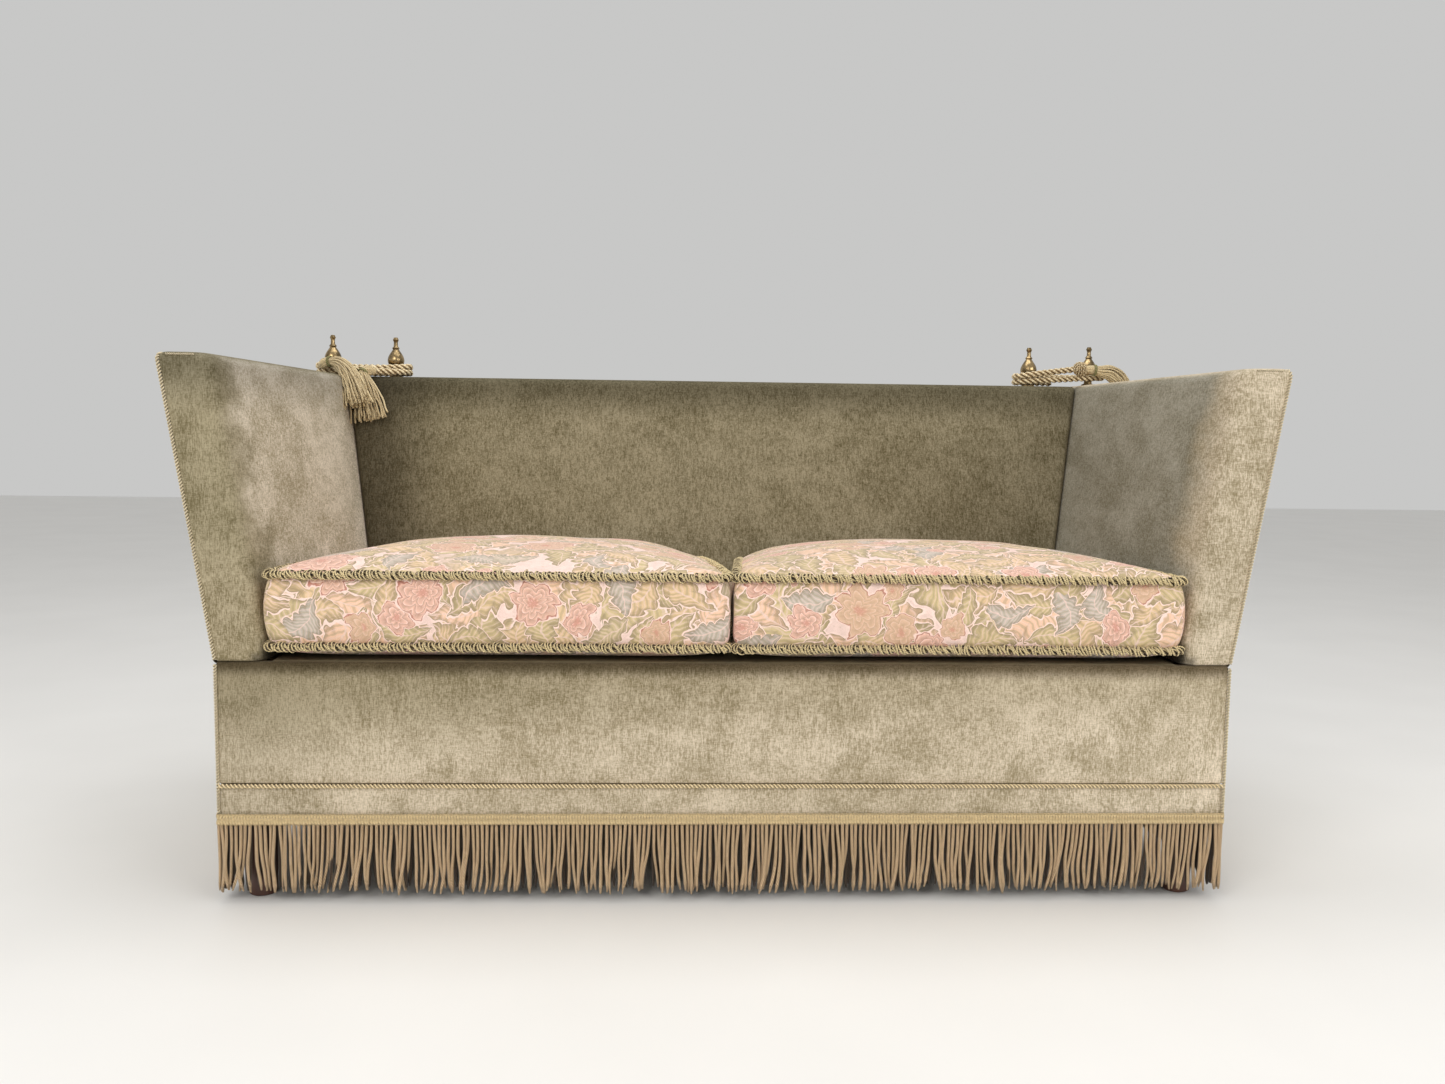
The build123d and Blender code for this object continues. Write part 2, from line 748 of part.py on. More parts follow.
# Arms: a wooden frame, padding and velvet over it, an outside panel and its piping
rail_in = arm_cover + arm_rail_width
post_in = arm_cover + arm_post_width
post_low = arm_rail_low + arm_rail_depth
for side, hand in ((-1, "left"), (1, "right")):
    with BuildPart() as bottom_rail:
        with BuildSketch(Plane.XZ):
            Polygon(*arm_section(side, arm_cover, rail_in, arm_rail_low, post_low), align=None)
        extrude(amount=reach, both=True)
        with BuildSketch(Plane.YZ):
            Polygon(*arm_profile(arm_frame_inset, arm_frame_inset, arm_bottom, arm_height), align=None)
        extrude(amount=reach, both=True, mode=Mode.INTERSECT)
    bottom_rail.part.label = f"{hand}_arm_bottom_rail"
    export_step(bottom_rail.part, f"parts/{hand}_arm_bottom_rail.step")

    with BuildPart() as cap_rail:
        with BuildSketch(Plane.XZ):
            Polygon(*arm_section(side, arm_cover, rail_in, arm_cap_low, arm_cap_top), align=None)
        extrude(amount=reach, both=True)
        with BuildSketch(Plane.YZ):
            Polygon(*arm_profile(arm_frame_inset, arm_frame_inset, arm_bottom, arm_height), align=None)
        extrude(amount=reach, both=True, mode=Mode.INTERSECT)
        with BuildSketch(Plane.XY.offset(arm_height)):
            with Locations((side * arm_finial_x, finial_y)):
                Circle(stud_radius)
        extrude(amount=-stud_length, mode=Mode.SUBTRACT)
    cap_rail.part.label = f"{hand}_arm_cap_rail"
    export_step(cap_rail.part, f"parts/{hand}_arm_cap_rail.step")

    middle_post = (front + back_face(post_low) + back_thickness) / 2
    with BuildPart() as arm_posts:
        with BuildSketch(Plane.XZ):
            Polygon(*arm_section(side, arm_cover, post_in, post_low, arm_cap_low), align=None)
        extrude(amount=reach, both=True)
        with BuildSketch(Plane.YZ):
            with Locations((front + arm_frame_inset + arm_post_depth / 2, (post_low + arm_cap_low) / 2)):
                Rectangle(arm_post_depth, arm_cap_low - post_low)
            with Locations((middle_post, (post_low + arm_cap_low) / 2)):
                Rectangle(arm_post_depth, arm_cap_low - post_low)
            rear_front = back_thickness - arm_frame_inset - arm_post_depth
            Polygon(*back_section(rear_front, arm_post_depth, post_low, arm_cap_low), align=None)
        extrude(amount=reach, both=True, mode=Mode.INTERSECT)
    arm_posts.part.label = f"{hand}_arm_posts"
    export_step(arm_posts.part, f"parts/{hand}_arm_posts.step")

    with BuildPart() as arm_pad:
        with BuildSketch(Plane.XZ):
            Polygon(*arm_section(side, arm_cover, arm_width, arm_bottom, arm_height), align=None)
        extrude(amount=reach, both=True)
        with BuildSketch(Plane.YZ):
            Polygon(*arm_profile(0, 0, arm_bottom, arm_height), align=None)
        extrude(amount=reach, both=True, mode=Mode.INTERSECT)
        edges = arm_pad.edges()
        mid_height = (arm_bottom + arm_height) / 2
        mid_depth = (front + back_face(arm_height) + back_thickness) / 2
        top_middle = arm_outer(arm_height) - arm_width / 2
        soft_edges = [
            edges.sort_by_distance((side * arm_inner(mid_height), front, mid_height))[0],
            edges.sort_by_distance((side * arm_inner(arm_height), mid_depth, arm_height))[0],
        ]
        fillet(soft_edges, radius=arm_edge_radius)
        add(bottom_rail.part, mode=Mode.SUBTRACT)
        add(cap_rail.part, mode=Mode.SUBTRACT)
        add(arm_posts.part, mode=Mode.SUBTRACT)
        for start in hinge_starts:
            with BuildSketch(Plane.XY.offset(arm_bottom)):
                with Locations((side * (leaf_inner + overrun / 2), start + hinge_length / 2)):
                    Rectangle(leaf_width + overrun, hinge_length + 2 * seat_gap)
            extrude(amount=seam_height + barrel_radius - arm_bottom, mode=Mode.SUBTRACT)
        with BuildSketch(Plane.XY.offset(arm_height)):
            with Locations((side * arm_finial_x, finial_y)):
                Circle(stud_radius)
        extrude(amount=-stud_length, mode=Mode.SUBTRACT)
    arm_pad.part.label = f"{hand}_arm_pad"
    export_step(arm_pad.part, f"parts/{hand}_arm_pad.step")

    with BuildPart() as arm_outside:
        with BuildSketch(Plane.XZ):
            Polygon(*arm_section(side, 0, arm_cover, arm_bottom, arm_height), align=None)
        extrude(amount=reach, both=True)
        with BuildSketch(Plane.YZ):
            Polygon(*arm_profile(0, 0, arm_bottom, arm_height), align=None)
        extrude(amount=reach, both=True, mode=Mode.INTERSECT)
        for start in hinge_starts:
            with BuildSketch(Plane.XY.offset(arm_bottom)):
                with Locations((side * half_width, start + hinge_length / 2)):
                    Rectangle(overrun, hinge_length + 2 * seat_gap)
            extrude(amount=seam_height + barrel_radius + seat_gap - arm_bottom, mode=Mode.SUBTRACT)
    arm_outside.part.label = f"{hand}_arm_outside"
    export_step(arm_outside.part, f"parts/{hand}_arm_outside.step")

    piping_stand = (piping_radius + seat_gap) / cos(radians(arm_lean))
    piping_turn = 3 * piping_radius
    piping_line = [
        (side * (arm_outer(seam_height) + piping_stand), front + piping_radius, seam_height + piping_stand),
        (side * (arm_outer(arm_height) + piping_stand), front + piping_radius, arm_height - piping_radius),
        (
            side * (arm_outer(arm_height) + piping_stand),
            back_face(arm_height) + back_thickness - piping_radius,
            arm_height - piping_radius,
        ),
    ]
    with BuildPart() as arm_piping:
        with BuildLine() as piping_path:
            FilletPolyline(*piping_line, radius=piping_turn)
        with BuildSketch(Plane(origin=piping_path.line @ 0, z_dir=piping_path.line % 0)):
            RegularPolygon(piping_radius, cord_sides)
        sweep()
    arm_piping.part.label = f"{hand}_arm_piping"
    export_step(arm_piping.part, f"parts/{hand}_arm_piping.step")


# Loose cushions: boxed sides, a crown above, a belly below and trim at both seams
def pulled_outline(middle, half_x, half_y, corner):
    """Arcs of a rounded rectangle whose sides are drawn in between its corners."""
    lean = radians(cushion_pull)
    across, rise = sin(lean), 1 - cos(lean)
    reach_x = half_x - corner * (cos(lean) + across)
    reach_y = half_y - corner * (cos(lean) + across)
    scale = across * across - rise * rise
    radius_x = (reach_x * across + reach_y * rise) / scale
    radius_y = (reach_y * across + reach_x * rise) / scale
    low_x, low_y = radius_x * across, half_y + radius_x * rise
    side_y, side_x = radius_y * across, half_x + radius_y * rise
    centre_x, centre_y = low_x + corner * across, low_y - corner * cos(lean)
    diagonal = corner / sqrt(2)
    quarter = [
        ((-low_x, low_y), (0, half_y), (low_x, low_y)),
        ((low_x, low_y), (centre_x + diagonal, centre_y + diagonal), (side_x, side_y)),
        ((side_x, side_y), (half_x, 0), (side_x, -side_y)),
        ((side_x, -side_y), (centre_x + diagonal, -centre_y - diagonal), (low_x, -low_y)),
    ]
    turned = [tuple((-x, -y) for x, y in arc) for arc in quarter]
    return [tuple((middle[0] + x, middle[1] + y) for x, y in arc) for arc in quarter + turned]


def dome_levels(seam, rise, inward, corner):
    """Heights, insets and corner radii of a domed face, from its seam to its flat middle."""
    levels = []
    for number in range(dome_steps + 1):
        turn = radians(dome_turn) * number / dome_steps
        share = (1 - cos(turn)) / (1 - cos(radians(dome_turn)))
        up = sin(turn) / sin(radians(dome_turn))
        softened = cushion_corner + (corner - cushion_corner) * share
        levels.append((seam + rise * up, body_inset + inward * share, softened))
    return levels


cushion_width = deck_half + moving_gap / 2 - cushion_gap / 2
cushion_back = back_foot - moving_gap
cushion_front = front - cushion_proud
cushion_depth = cushion_back - cushion_front
pull_depth = (cushion_depth / 2) * tan(radians(cushion_pull)) / 2
trim_half_x = cushion_width / 2 - cushion_trim_radius - pull_depth
trim_half_y = cushion_depth / 2 - cushion_trim_radius - pull_depth
body_inset = cushion_trim_radius + trim_inset
crown_rise = cushion_crown - trim_high
belly_drop = trim_low - seam_height - seat_gap
crown_inset, crown_corner = crown_inset_share * seat_depth, crown_corner_share * seat_depth
belly_inset, belly_corner = belly_inset_share * seat_depth, belly_corner_share * seat_depth
for side, hand in ((-1, "left"), (1, "right")):
    middle = (side * (cushion_gap / 2 + cushion_width / 2), (cushion_front + cushion_back) / 2)
    seam_level = (body_inset, cushion_corner)
    side_levels = [(trim_low, *seam_level)]
    for up, outward in bulge_shares:
        inward = body_inset - side_bulge * outward
        side_levels.append((trim_low + (trim_high - trim_low) * up, inward, cushion_corner))
    side_levels.append((trim_high, *seam_level))
    crown_levels = dome_levels(trim_high, crown_rise, crown_inset, crown_corner)
    belly_levels = dome_levels(trim_low, -belly_drop, belly_inset, belly_corner)
    with BuildPart() as cushion:
        for levels in (side_levels, crown_levels, belly_levels):
            for height, inset, corner in levels:
                with BuildSketch(Plane.XY.offset(height)):
                    with BuildLine():
                        for arc in pulled_outline(middle, trim_half_x - inset, trim_half_y - inset, corner):
                            ThreePointArc(*arc)
                    make_face()
            loft(ruled=True)
    cushion.part.label = f"{hand}_cushion"
    export_step(cushion.part, f"parts/{hand}_cushion.step")

    with BuildPart() as cushion_trims:
        for height in (trim_low, trim_high):
            with BuildLine(Plane.XY.offset(height)) as trim_path:
                for arc in pulled_outline(middle, trim_half_x, trim_half_y, cushion_corner):
                    ThreePointArc(*arc)
            start, ahead = trim_path.line @ 0, trim_path.line % 0
            with BuildSketch(Plane(origin=start, x_dir=(0, 0, 1), z_dir=ahead)):
                RegularPolygon(cushion_trim_radius, cord_sides)
            sweep(path=trim_path.wire())
    cushion_trims.part.label = f"{hand}_cushion_trims"
    export_step(cushion_trims.part, f"parts/{hand}_cushion_trims.step")


# Cords wound round each pair of finials, in places counted outwards from the middle
first_level = arm_height + rope_lift + rope_radius
next_level = first_level + rope_layer
near, far = finial_y - rope_wrap, finial_y + rope_wrap
inboard, outboard = back_finial_x - rope_wrap, arm_finial_x + rope_wrap
wrap_radius = rope_wrap - rope_lift


def winding(levels):
    """Corners of turns round both finials, starting outboard; each front run changes level."""
    corners = []
    for level in levels:
        corners += [(outboard, near, level), (outboard, far, level)]
        corners += [(inboard, far, level), (inboard, near, level)]
    return corners


def routed(offset):
    """A place on a cord's route, from its offsets to the arm finial, near run and arm top."""
    return (arm_finial_x + offset[0], near + offset[1], arm_height + offset[2])


# The left cord starts at the tassel beside the arm finial and ends at the one before the back
left_turns = winding((next_level, first_level))
left_route = [routed(left_cord_start), *left_turns, routed(left_cord_end)]
left_radii = [left_cord_bend] + [wrap_radius] * (len(left_turns) - 1)

# The right cord starts behind the back finial and ends in the knot beside the arm finial
right_turns = [(inboard, far, first_level), (inboard, near, first_level), *winding((next_level,))]
right_route = [routed(right_cord_start), *right_turns, routed(right_cord_last), routed(right_cord_end)]
right_radii = [wrap_radius] * len(right_turns) + [right_cord_bend]


def least_gap(wire, radius):
    """Least gap between stretches of a wound tube that lie apart along its length."""
    points = [wire @ (number / wrap_samples) for number in range(wrap_samples + 1)]
    apart = int(wrap_samples * 4 * rope_wrap / wire.length)
    gaps = [
        (points[i] - points[j]).length - 2 * radius
        for i in range(wrap_samples + 1)
        for j in range(i + apart, wrap_samples + 1)
    ]
    return min(gaps)


for name, route, radii, side in (
    ("left_cord", left_route, left_radii, -1),
    ("right_cord", right_route, right_radii, 1),
):
    with BuildPart() as rope:
        with BuildLine() as rope_path:
            FilletPolyline(*[(side * x, y, z) for x, y, z in route], radius=radii)
        with BuildSketch(Plane(origin=rope_path.line @ 0, z_dir=rope_path.line % 0)):
            Circle(rope_radius)
        sweep()
    rope_wire = rope_path.wire()
    swept = pi * rope_radius * rope_radius * rope_wire.length
    print(name, "length", round(rope_wire.length, 1), "radii", [round(r, 1) for r in radii])
    print(name, "volume over section times length", round(rope.part.volume / swept, 4))
    print(name, "least gap to itself", round(least_gap(rope_wire, rope_radius), 2))
    rope.part.label = name
    export_step(rope.part, f"parts/{name}.step")


def soft_sections(line, side):
    """Planes across a bending line, with a radius for each, from a table of offsets."""
    places = [routed(row) for row in line]
    points = [Vector(side * x, y, z) for x, y, z in places]
    sections = []
    for number, point in enumerate(points):
        before = points[max(number - 1, 0)]
        after = points[min(number + 1, len(points) - 1)]
        ahead = (after - before).normalized()
        level = Vector(0, 1, 0)
        sideways = (level - ahead * level.dot(ahead)).normalized()
        sections.append((Plane(origin=point, x_dir=sideways, z_dir=ahead), line[number][3]))
    return sections


# Tassels: a wound head, a neck and a skirt of strands that drapes over the edge
with BuildPart() as left_tassels:
    for line in (upper_tassel_line, lower_tassel_line):
        for plane, radius in soft_sections(line, -1):
            with BuildSketch(plane):
                RegularPolygon(radius, tassel_sides)
        loft(ruled=True)
left_tassels.part.label = "left_tassels"
export_step(left_tassels.part, "parts/left_tassels.step")

rope_end, rope_before = Vector(*routed(right_cord_end)), Vector(*routed(right_cord_last))
knot_ahead = (rope_end - rope_before).normalized()
knot = rope_end + knot_ahead * (knot_half + seat_gap)
knot_flat = sqrt(knot_radius * knot_radius - knot_half * knot_half)
knot_side = (Vector(0, 1, 0) - knot_ahead * knot_ahead.Y).normalized()
with BuildPart() as right_tassel:
    for plane, radius in soft_sections(right_tassel_line, 1):
        with BuildSketch(plane):
            RegularPolygon(radius, tassel_sides)
    loft(ruled=True)
    with BuildSketch(Plane(origin=knot, x_dir=knot_ahead, z_dir=knot_side)):
        with BuildLine():
            Polyline((-knot_half, knot_flat), (-knot_half, 0), (knot_half, 0), (knot_half, knot_flat))
            ThreePointArc((knot_half, knot_flat), (0, knot_radius), (-knot_half, knot_flat))
        make_face()
    revolve(axis=Axis(knot, knot_ahead))
right_tassel.part.label = "right_tassel"
export_step(right_tassel.part, "parts/right_tassel.step")

print("front", round(front, 2), "arm finial", round(arm_finial_x, 2), round(finial_y, 2))
print("overall depth", round(overall_depth, 2))
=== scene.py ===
"""Dresses the knole sofa: velvet upholstery, floral cushions, cords, tassels and bullion fringe."""

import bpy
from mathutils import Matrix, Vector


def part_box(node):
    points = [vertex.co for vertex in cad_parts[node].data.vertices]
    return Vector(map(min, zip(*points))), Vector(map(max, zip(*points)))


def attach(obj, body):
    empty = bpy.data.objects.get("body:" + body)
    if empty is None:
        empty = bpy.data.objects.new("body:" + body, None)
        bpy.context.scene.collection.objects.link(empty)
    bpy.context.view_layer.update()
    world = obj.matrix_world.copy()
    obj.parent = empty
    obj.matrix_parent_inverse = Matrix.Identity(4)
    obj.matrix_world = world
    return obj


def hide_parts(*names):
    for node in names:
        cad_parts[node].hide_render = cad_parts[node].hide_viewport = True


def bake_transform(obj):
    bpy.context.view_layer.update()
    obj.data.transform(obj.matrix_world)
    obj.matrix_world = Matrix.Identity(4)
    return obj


bl_info = {
    "name": "Knole Sofa",
    "version": (1, 0, 0),
    "blender": (4, 5, 0),
    "location": "View3D > Sidebar > Sofa",
    "description": "Velvet upholstery, floral cushions, cords, tassels and fringe for a drop-arm sofa",
    "category": "Object",
}

import random
from math import ceil, cos, pi, radians, sin, sqrt, tan

import bmesh
import bpy
from bpy.props import FloatProperty, FloatVectorProperty, IntProperty, PointerProperty
from mathutils import Matrix, Vector, noise

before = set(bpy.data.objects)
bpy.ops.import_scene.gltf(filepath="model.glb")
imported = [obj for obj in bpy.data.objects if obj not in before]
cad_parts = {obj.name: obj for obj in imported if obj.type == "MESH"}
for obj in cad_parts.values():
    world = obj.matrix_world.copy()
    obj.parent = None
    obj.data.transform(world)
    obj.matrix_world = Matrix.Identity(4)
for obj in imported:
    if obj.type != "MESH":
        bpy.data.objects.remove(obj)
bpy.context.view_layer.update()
noise.seed_set(7)

SIDES = ((-1, "left"), (1, "right"))

# Places read from the frame, in metres
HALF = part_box("front_border")[1][0]
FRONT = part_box("front_border")[0][1]
BASE_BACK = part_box("rear_border")[1][1]
SEAM = (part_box("left_base_cover")[1][2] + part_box("left_arm_pad")[0][2]) / 2
ARM_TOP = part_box("left_arm_pad")[1][2]
BACK_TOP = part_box("back_pad")[1][2]
BAND_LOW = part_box("front_band")[0][2]
CORD_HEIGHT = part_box("front_cord")[0][2] + 0.003
HEADER_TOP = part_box("front_fringe")[1][2]
TRIM_RADIUS = 0.006
TRIM_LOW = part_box("left_cushion_trims")[0][2] + TRIM_RADIUS
TRIM_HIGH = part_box("left_cushion_trims")[1][2] - TRIM_RADIUS
FINIAL_Y = (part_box("left_arm_finial")[0][1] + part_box("left_arm_finial")[1][1]) / 2
ARM_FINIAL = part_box("right_arm_finial")[0][0] / 2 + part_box("right_arm_finial")[1][0] / 2
BACK_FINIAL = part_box("right_back_finial")[0][0] / 2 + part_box("right_back_finial")[1][0] / 2

# Lean and thickness of the arms and the back, the radii of an arm's edges, and the gaps beside them
ARM_RUN = tan(radians(9))
BACK_RUN = tan(radians(12.7))
ARM_WIDTH = 0.071
ARM_ROUND = 0.011
ARM_CORNER = 0.022
SEAM_GAP = 0.0003
BACK_ROOM = 0.002
BACK_THICKNESS = 0.09
BACK_FOOT = BASE_BACK - BACK_THICKNESS

# Turns of the cords round the finials
WRAP = 0.027
NEAR = FINIAL_Y - WRAP
FAR = FINIAL_Y + WRAP
INBOARD = BACK_FINIAL - WRAP
OUTBOARD = ARM_FINIAL + WRAP
FIRST_LEVEL = ARM_TOP + 0.00585
NEXT_LEVEL = FIRST_LEVEL + 0.0112
ROPE_FULLNESS = 1.28

# Cushions: corners of the seams, how far the sides are drawn in, and the curves above and below
SEAM_CORNER = 0.016
SIDE_PULL = 0.005
BELLY_SWEEP = pi / 2 * 0.8
CROWN_SWEEP = pi / 2 * 0.82
CROWN_SHARE = 0.86
CUSHION_ROOM = 0.003
SETTLING_FRAMES = 20

# How a used cushion differs from a new one: shares of its height, then lengths
REAR_SAG = 0.2
CORNER_SAG = 0.26
CORNER_DRAW = 0.13
REAR_DRAW = 0.012
EAR = 0.008
PUCKER = 0.002
WEAR = 0.004

# Yarns: the radius of a trim loop's yarn as a share of the loop, and of a tassel's strand
LOOP_YARN = 0.2
TASSEL_YARN = 0.0017
TASSEL_SWAY = 0.0045
HEAD_STRANDS = 18
CURVE_STEPS = 8
NECK = 2 * CURVE_STEPS
PINCH = 0.02

# Piping, cords and braid: radii, lengths of one twist and the pitch of the stitches
PIPING_TWIST = 0.009
FRONT_CORD_RADIUS = 0.0034
FRONT_CORD_TWIST = 0.0115
KNOT_RADIUS = 0.0116
KNOT_YARN = 0.0027
KNOT_TWIST = 0.011
STITCH_PITCH = 0.0041
STITCH_SIZE = (0.0034, 0.0096, 0.0044)
EDGE_CORD_RADIUS = 0.0014
EDGE_CORD_TWIST = 0.0055

# Cloth flaps over the hinges
FLAP_RADIUS = 0.0065
FLAP_THICKNESS = 0.0008

# Steps between neighbours, so that no two that touch look alike
GOLDEN_SHARE = 0.618034
GOLDEN_TURN = 2.399963

# Where the photograph was taken from, in metres and radians
CAMERA_PLACE = (-0.0909, -2.0943, 0.6855)
CAMERA_YAW, CAMERA_PITCH, CAMERA_ROLL = 0.0444, 0.0940, 0.0131


def arm_outer(z):
    """Distance of an arm's outer face from the middle of the sofa."""
    return HALF + (z - SEAM) * ARM_RUN


def arm_inner(z):
    """Distance of an arm's inner face from the middle of the sofa."""
    return arm_outer(z) - ARM_WIDTH


def back_face(z):
    """Depth of the back's front face."""
    return BACK_FOOT + (z - SEAM) * BACK_RUN


def shade(red, green, blue):
    """A colour as it looks on screen, from 0 to 255, turned into light values."""
    return tuple(((c / 255 + 0.055) / 1.055) ** 2.4 if c > 10 else c / 3294 for c in (red, green, blue))


def length_of(name, words, default, low=0.0005, high=0.2):
    """A length that a user may change."""
    return FloatProperty(name=name, description=words, default=default, min=low, max=high, unit="LENGTH")


def colour_of(name, words, default):
    """A colour that a user may change."""
    return FloatVectorProperty(name=name, description=words, default=default, subtype="COLOR", size=3, min=0, max=1)


class SofaSizes(bpy.types.PropertyGroup):
    """Sizes of the soft work"""

    rope_diameter: length_of("Rope Diameter", "Thickness of the cords round the finials", 0.0105)
    rope_turn: length_of("Rope Turn", "Length of one full twist of the rope", 0.034)
    trim_diameter: length_of("Cushion Trim", "Thickness of the looped trim on the cushions", 0.0172)
    trim_pitch: length_of("Trim Pitch", "Distance between neighbouring loops of the trim", 0.0045)
    piping_diameter: length_of("Piping", "Thickness of the piping on arms and corners", 0.0058)
    fringe_pitch: length_of("Fringe Pitch", "Distance between neighbouring fringe strands", 0.0068)
    fringe_width: length_of("Strand Width", "Thickness of one fringe strand", 0.0048)
    weave_voxel: length_of("Cushion Voxel", "Size of the cells that a cushion is remeshed to", 0.0068)
    cushion_cap: length_of("Cushion Swell", "How far a point of a cushion may swell", 0.022)
    fringe_seed: IntProperty(name="Fringe Seed", description="Seed of the fringe's unevenness", default=7)
    cushion_pressure: FloatProperty(name="Cushion Pressure", description="Pressure inside a cushion", default=4.0)


class SofaColours(bpy.types.PropertyGroup):
    """Colours of the fabrics, cords and metal"""

    velvet_dark: colour_of("Velvet, Dark", "Velvet where the pile turns away", shade(137, 124, 94))
    velvet_light: colour_of("Velvet, Light", "Velvet where the pile catches light", shade(217, 203, 181))
    piping: colour_of("Piping", "Piping on the arms and corners", shade(222, 206, 172))
    front_cord: colour_of("Front Cord", "Cord under the front border", shade(236, 214, 170))
    rope_light: colour_of("Rope, Light", "Light yarn of the cords", shade(255, 238, 198))
    rope_dark: colour_of("Rope, Dark", "Dark yarn of the cords", shade(142, 114, 70))
    tie: colour_of("Tassel Tie", "Binding round the neck of a tassel", shade(148, 142, 92))
    fringe_light: colour_of("Fringe, Light", "Light yarn of the fringe", shade(250, 218, 174))
    fringe_dark: colour_of("Fringe, Dark", "Dark yarn of the fringe", shade(124, 92, 56))
    header: colour_of("Fringe Header", "Braid that heads the fringe", shade(236, 210, 160))
    trim_light: colour_of("Trim, Light", "Light yarn of the cushion trim", shade(255, 232, 176))
    trim_dark: colour_of("Trim, Dark", "Dark yarn of the cushion trim", shade(76, 56, 26))
    ground: colour_of("Floral Ground", "Ground of the cushion fabric", shade(246, 217, 208))
    blossom: colour_of("Blossom", "Petals of the floral design", shade(224, 180, 162))
    blossom_heart: colour_of("Blossom Heart", "Hearts of the flowers", shade(206, 132, 116))
    leaf: colour_of("Leaf", "Green leaves of the floral design", shade(188, 170, 128))
    gold: colour_of("Leaf, Gold", "Golden leaves of the floral design", shade(210, 182, 142))
    accent: colour_of("Accent", "Small cool accents of the floral design", shade(186, 178, 168))
    brass: colour_of("Brass", "Aged brass of the finials", shade(190, 164, 120))
    wood: colour_of("Foot Wood", "Stained wood of the feet", shade(80, 46, 32))


def sizes():
    """The sizes that the sidebar shows."""
    return bpy.context.scene.sofa_sizes


def colours():
    """The colours that the sidebar shows."""
    return bpy.context.scene.sofa_colours


class Signal:
    """A number in a material's node tree that Python's own signs work on."""

    def __init__(self, finish, socket):
        self.finish = finish
        self.socket = socket

    def sum(self, operation, first, second=0.0):
        return self.finish.node("ShaderNodeMath", {"operation": operation}, {0: first, 1: second})

    def __add__(self, other):
        return self.sum("ADD", self, other)

    def __sub__(self, other):
        return self.sum("SUBTRACT", self, other)

    def __mul__(self, other):
        return self.sum("MULTIPLY", self, other)

    def __truediv__(self, other):
        return self.sum("DIVIDE", self, other)

    def __rsub__(self, other):
        return self.sum("SUBTRACT", other, self)

    def __abs__(self):
        return self.sum("ABSOLUTE", self)

    __radd__ = __add__
    __rmul__ = __mul__

    def sine(self):
        return self.sum("SINE", self)

    def cosine(self):
        return self.sum("COSINE", self)


class Finish:
    """One material, its nodes added by plain calls."""

    def __init__(self, name):
        self.material = bpy.data.materials.new(name)
        self.material.use_nodes = True
        self.tree = self.material.node_tree
        self.tree.nodes.clear()
        self.shader = self.tree.nodes.new("ShaderNodeBsdfPrincipled")
        output = self.tree.nodes.new("ShaderNodeOutputMaterial")
        self.tree.links.new(self.shader.outputs[0], output.inputs[0])

    def feed(self, socket, value):
        """Links a signal to a socket, or sets the socket to a value."""
        if isinstance(value, Signal):
            self.tree.links.new(value.socket, socket)
        elif hasattr(socket.default_value, "__len__") and len(socket.default_value) == 4 and len(value) == 3:
            socket.default_value = (*value, 1)
        else:
            socket.default_value = value

    def node(self, kind, settings, inputs, output=0):
        """Adds a node with its settings and what feeds its sockets."""
        node = self.tree.nodes.new(kind)
        for name, value in settings.items():
            setattr(node, name, value)
        for key, value in inputs.items():
            self.feed(node.inputs[key], value)
        return Signal(self, node.outputs[output])

    def place(self):
        """Places on the piece itself, in metres."""
        return self.node("ShaderNodeTexCoord", {}, {}, "Object")

    def cloth_place(self):
        """Places on the flat cloth, in metres."""
        return self.node("ShaderNodeTexCoord", {}, {}, "UV")

    def stretched(self, vector, scale, shift=(0, 0, 0)):
        """Places counted in cells of another size."""
        return self.node("ShaderNodeMapping", {}, {"Vector": vector, "Scale": scale, "Location": shift})

    def cloud(self, vector, scale, detail=2.0, rough=0.5, warp=0.0):
        """Soft noise from nought to one."""
        settings = {"noise_dimensions": "3D"}
        inputs = {"Vector": vector, "Scale": scale, "Detail": detail, "Roughness": rough, "Distortion": warp}
        return self.node("ShaderNodeTexNoise", settings, inputs)

    def rise(self, value, low, high):
        """Nought below low, one above high and a smooth step between."""
        settings = {"interpolation_type": "SMOOTHSTEP"}
        return self.node("ShaderNodeMapRange", settings, {"Value": value, "From Min": low, "From Max": high})

    def blend(self, kind, share, first, second):
        """A second colour over a first one, in one of Blender's ways of mixing."""
        return self.node("ShaderNodeMix", {"data_type": "RGBA", "blend_type": kind}, {0: share, 6: first, 7: second}, 2)

    def mix(self, share, first, second):
        """The second colour in place of the first where the share is one."""
        return self.blend("MIX", share, first, second)

    def wash(self, share, first, colour):
        """The first colour, multiplied by a second one where the share is one."""
        return self.blend("MULTIPLY", share, first, colour)

    def over(self, base, value, low, high, colour, most=None):
        """A colour laid over another as a value rises from low to high."""
        share = self.rise(value, low, high)
        return self.mix(share if most is None else share * most, base, colour)

    def below(self, base, value, low, high, colour, most):
        """A colour laid over another where a value stays below low."""
        return self.mix((1 - self.rise(value, low, high)) * most, base, colour)

    def parts(self, vector):
        """The three numbers of a place or of a colour."""
        split = self.node("ShaderNodeSeparateXYZ", {}, {0: vector}).socket.node
        return [Signal(self, output) for output in split.outputs]

    def spun(self, across, length, turns, pitch):
        """Waves that wind round a thread as they run along it."""
        return ((across * turns + length * pitch) * (2 * pi)).sine()

    def relief(self, height, depth, strength=1.0):
        """Raises the surface where the height is large."""
        bump = self.node("ShaderNodeBump", {}, {"Height": height, "Distance": depth, "Strength": strength})
        self.surface({"Normal": bump})

    def surface(self, inputs):
        """Feeds the shader's own sockets."""
        for name, value in inputs.items():
            self.feed(self.shader.inputs[name], value)


def tint(colour, share):
    """A colour made lighter, or darker where the share is below one."""
    return tuple(min(1.0, c * share) for c in colour)


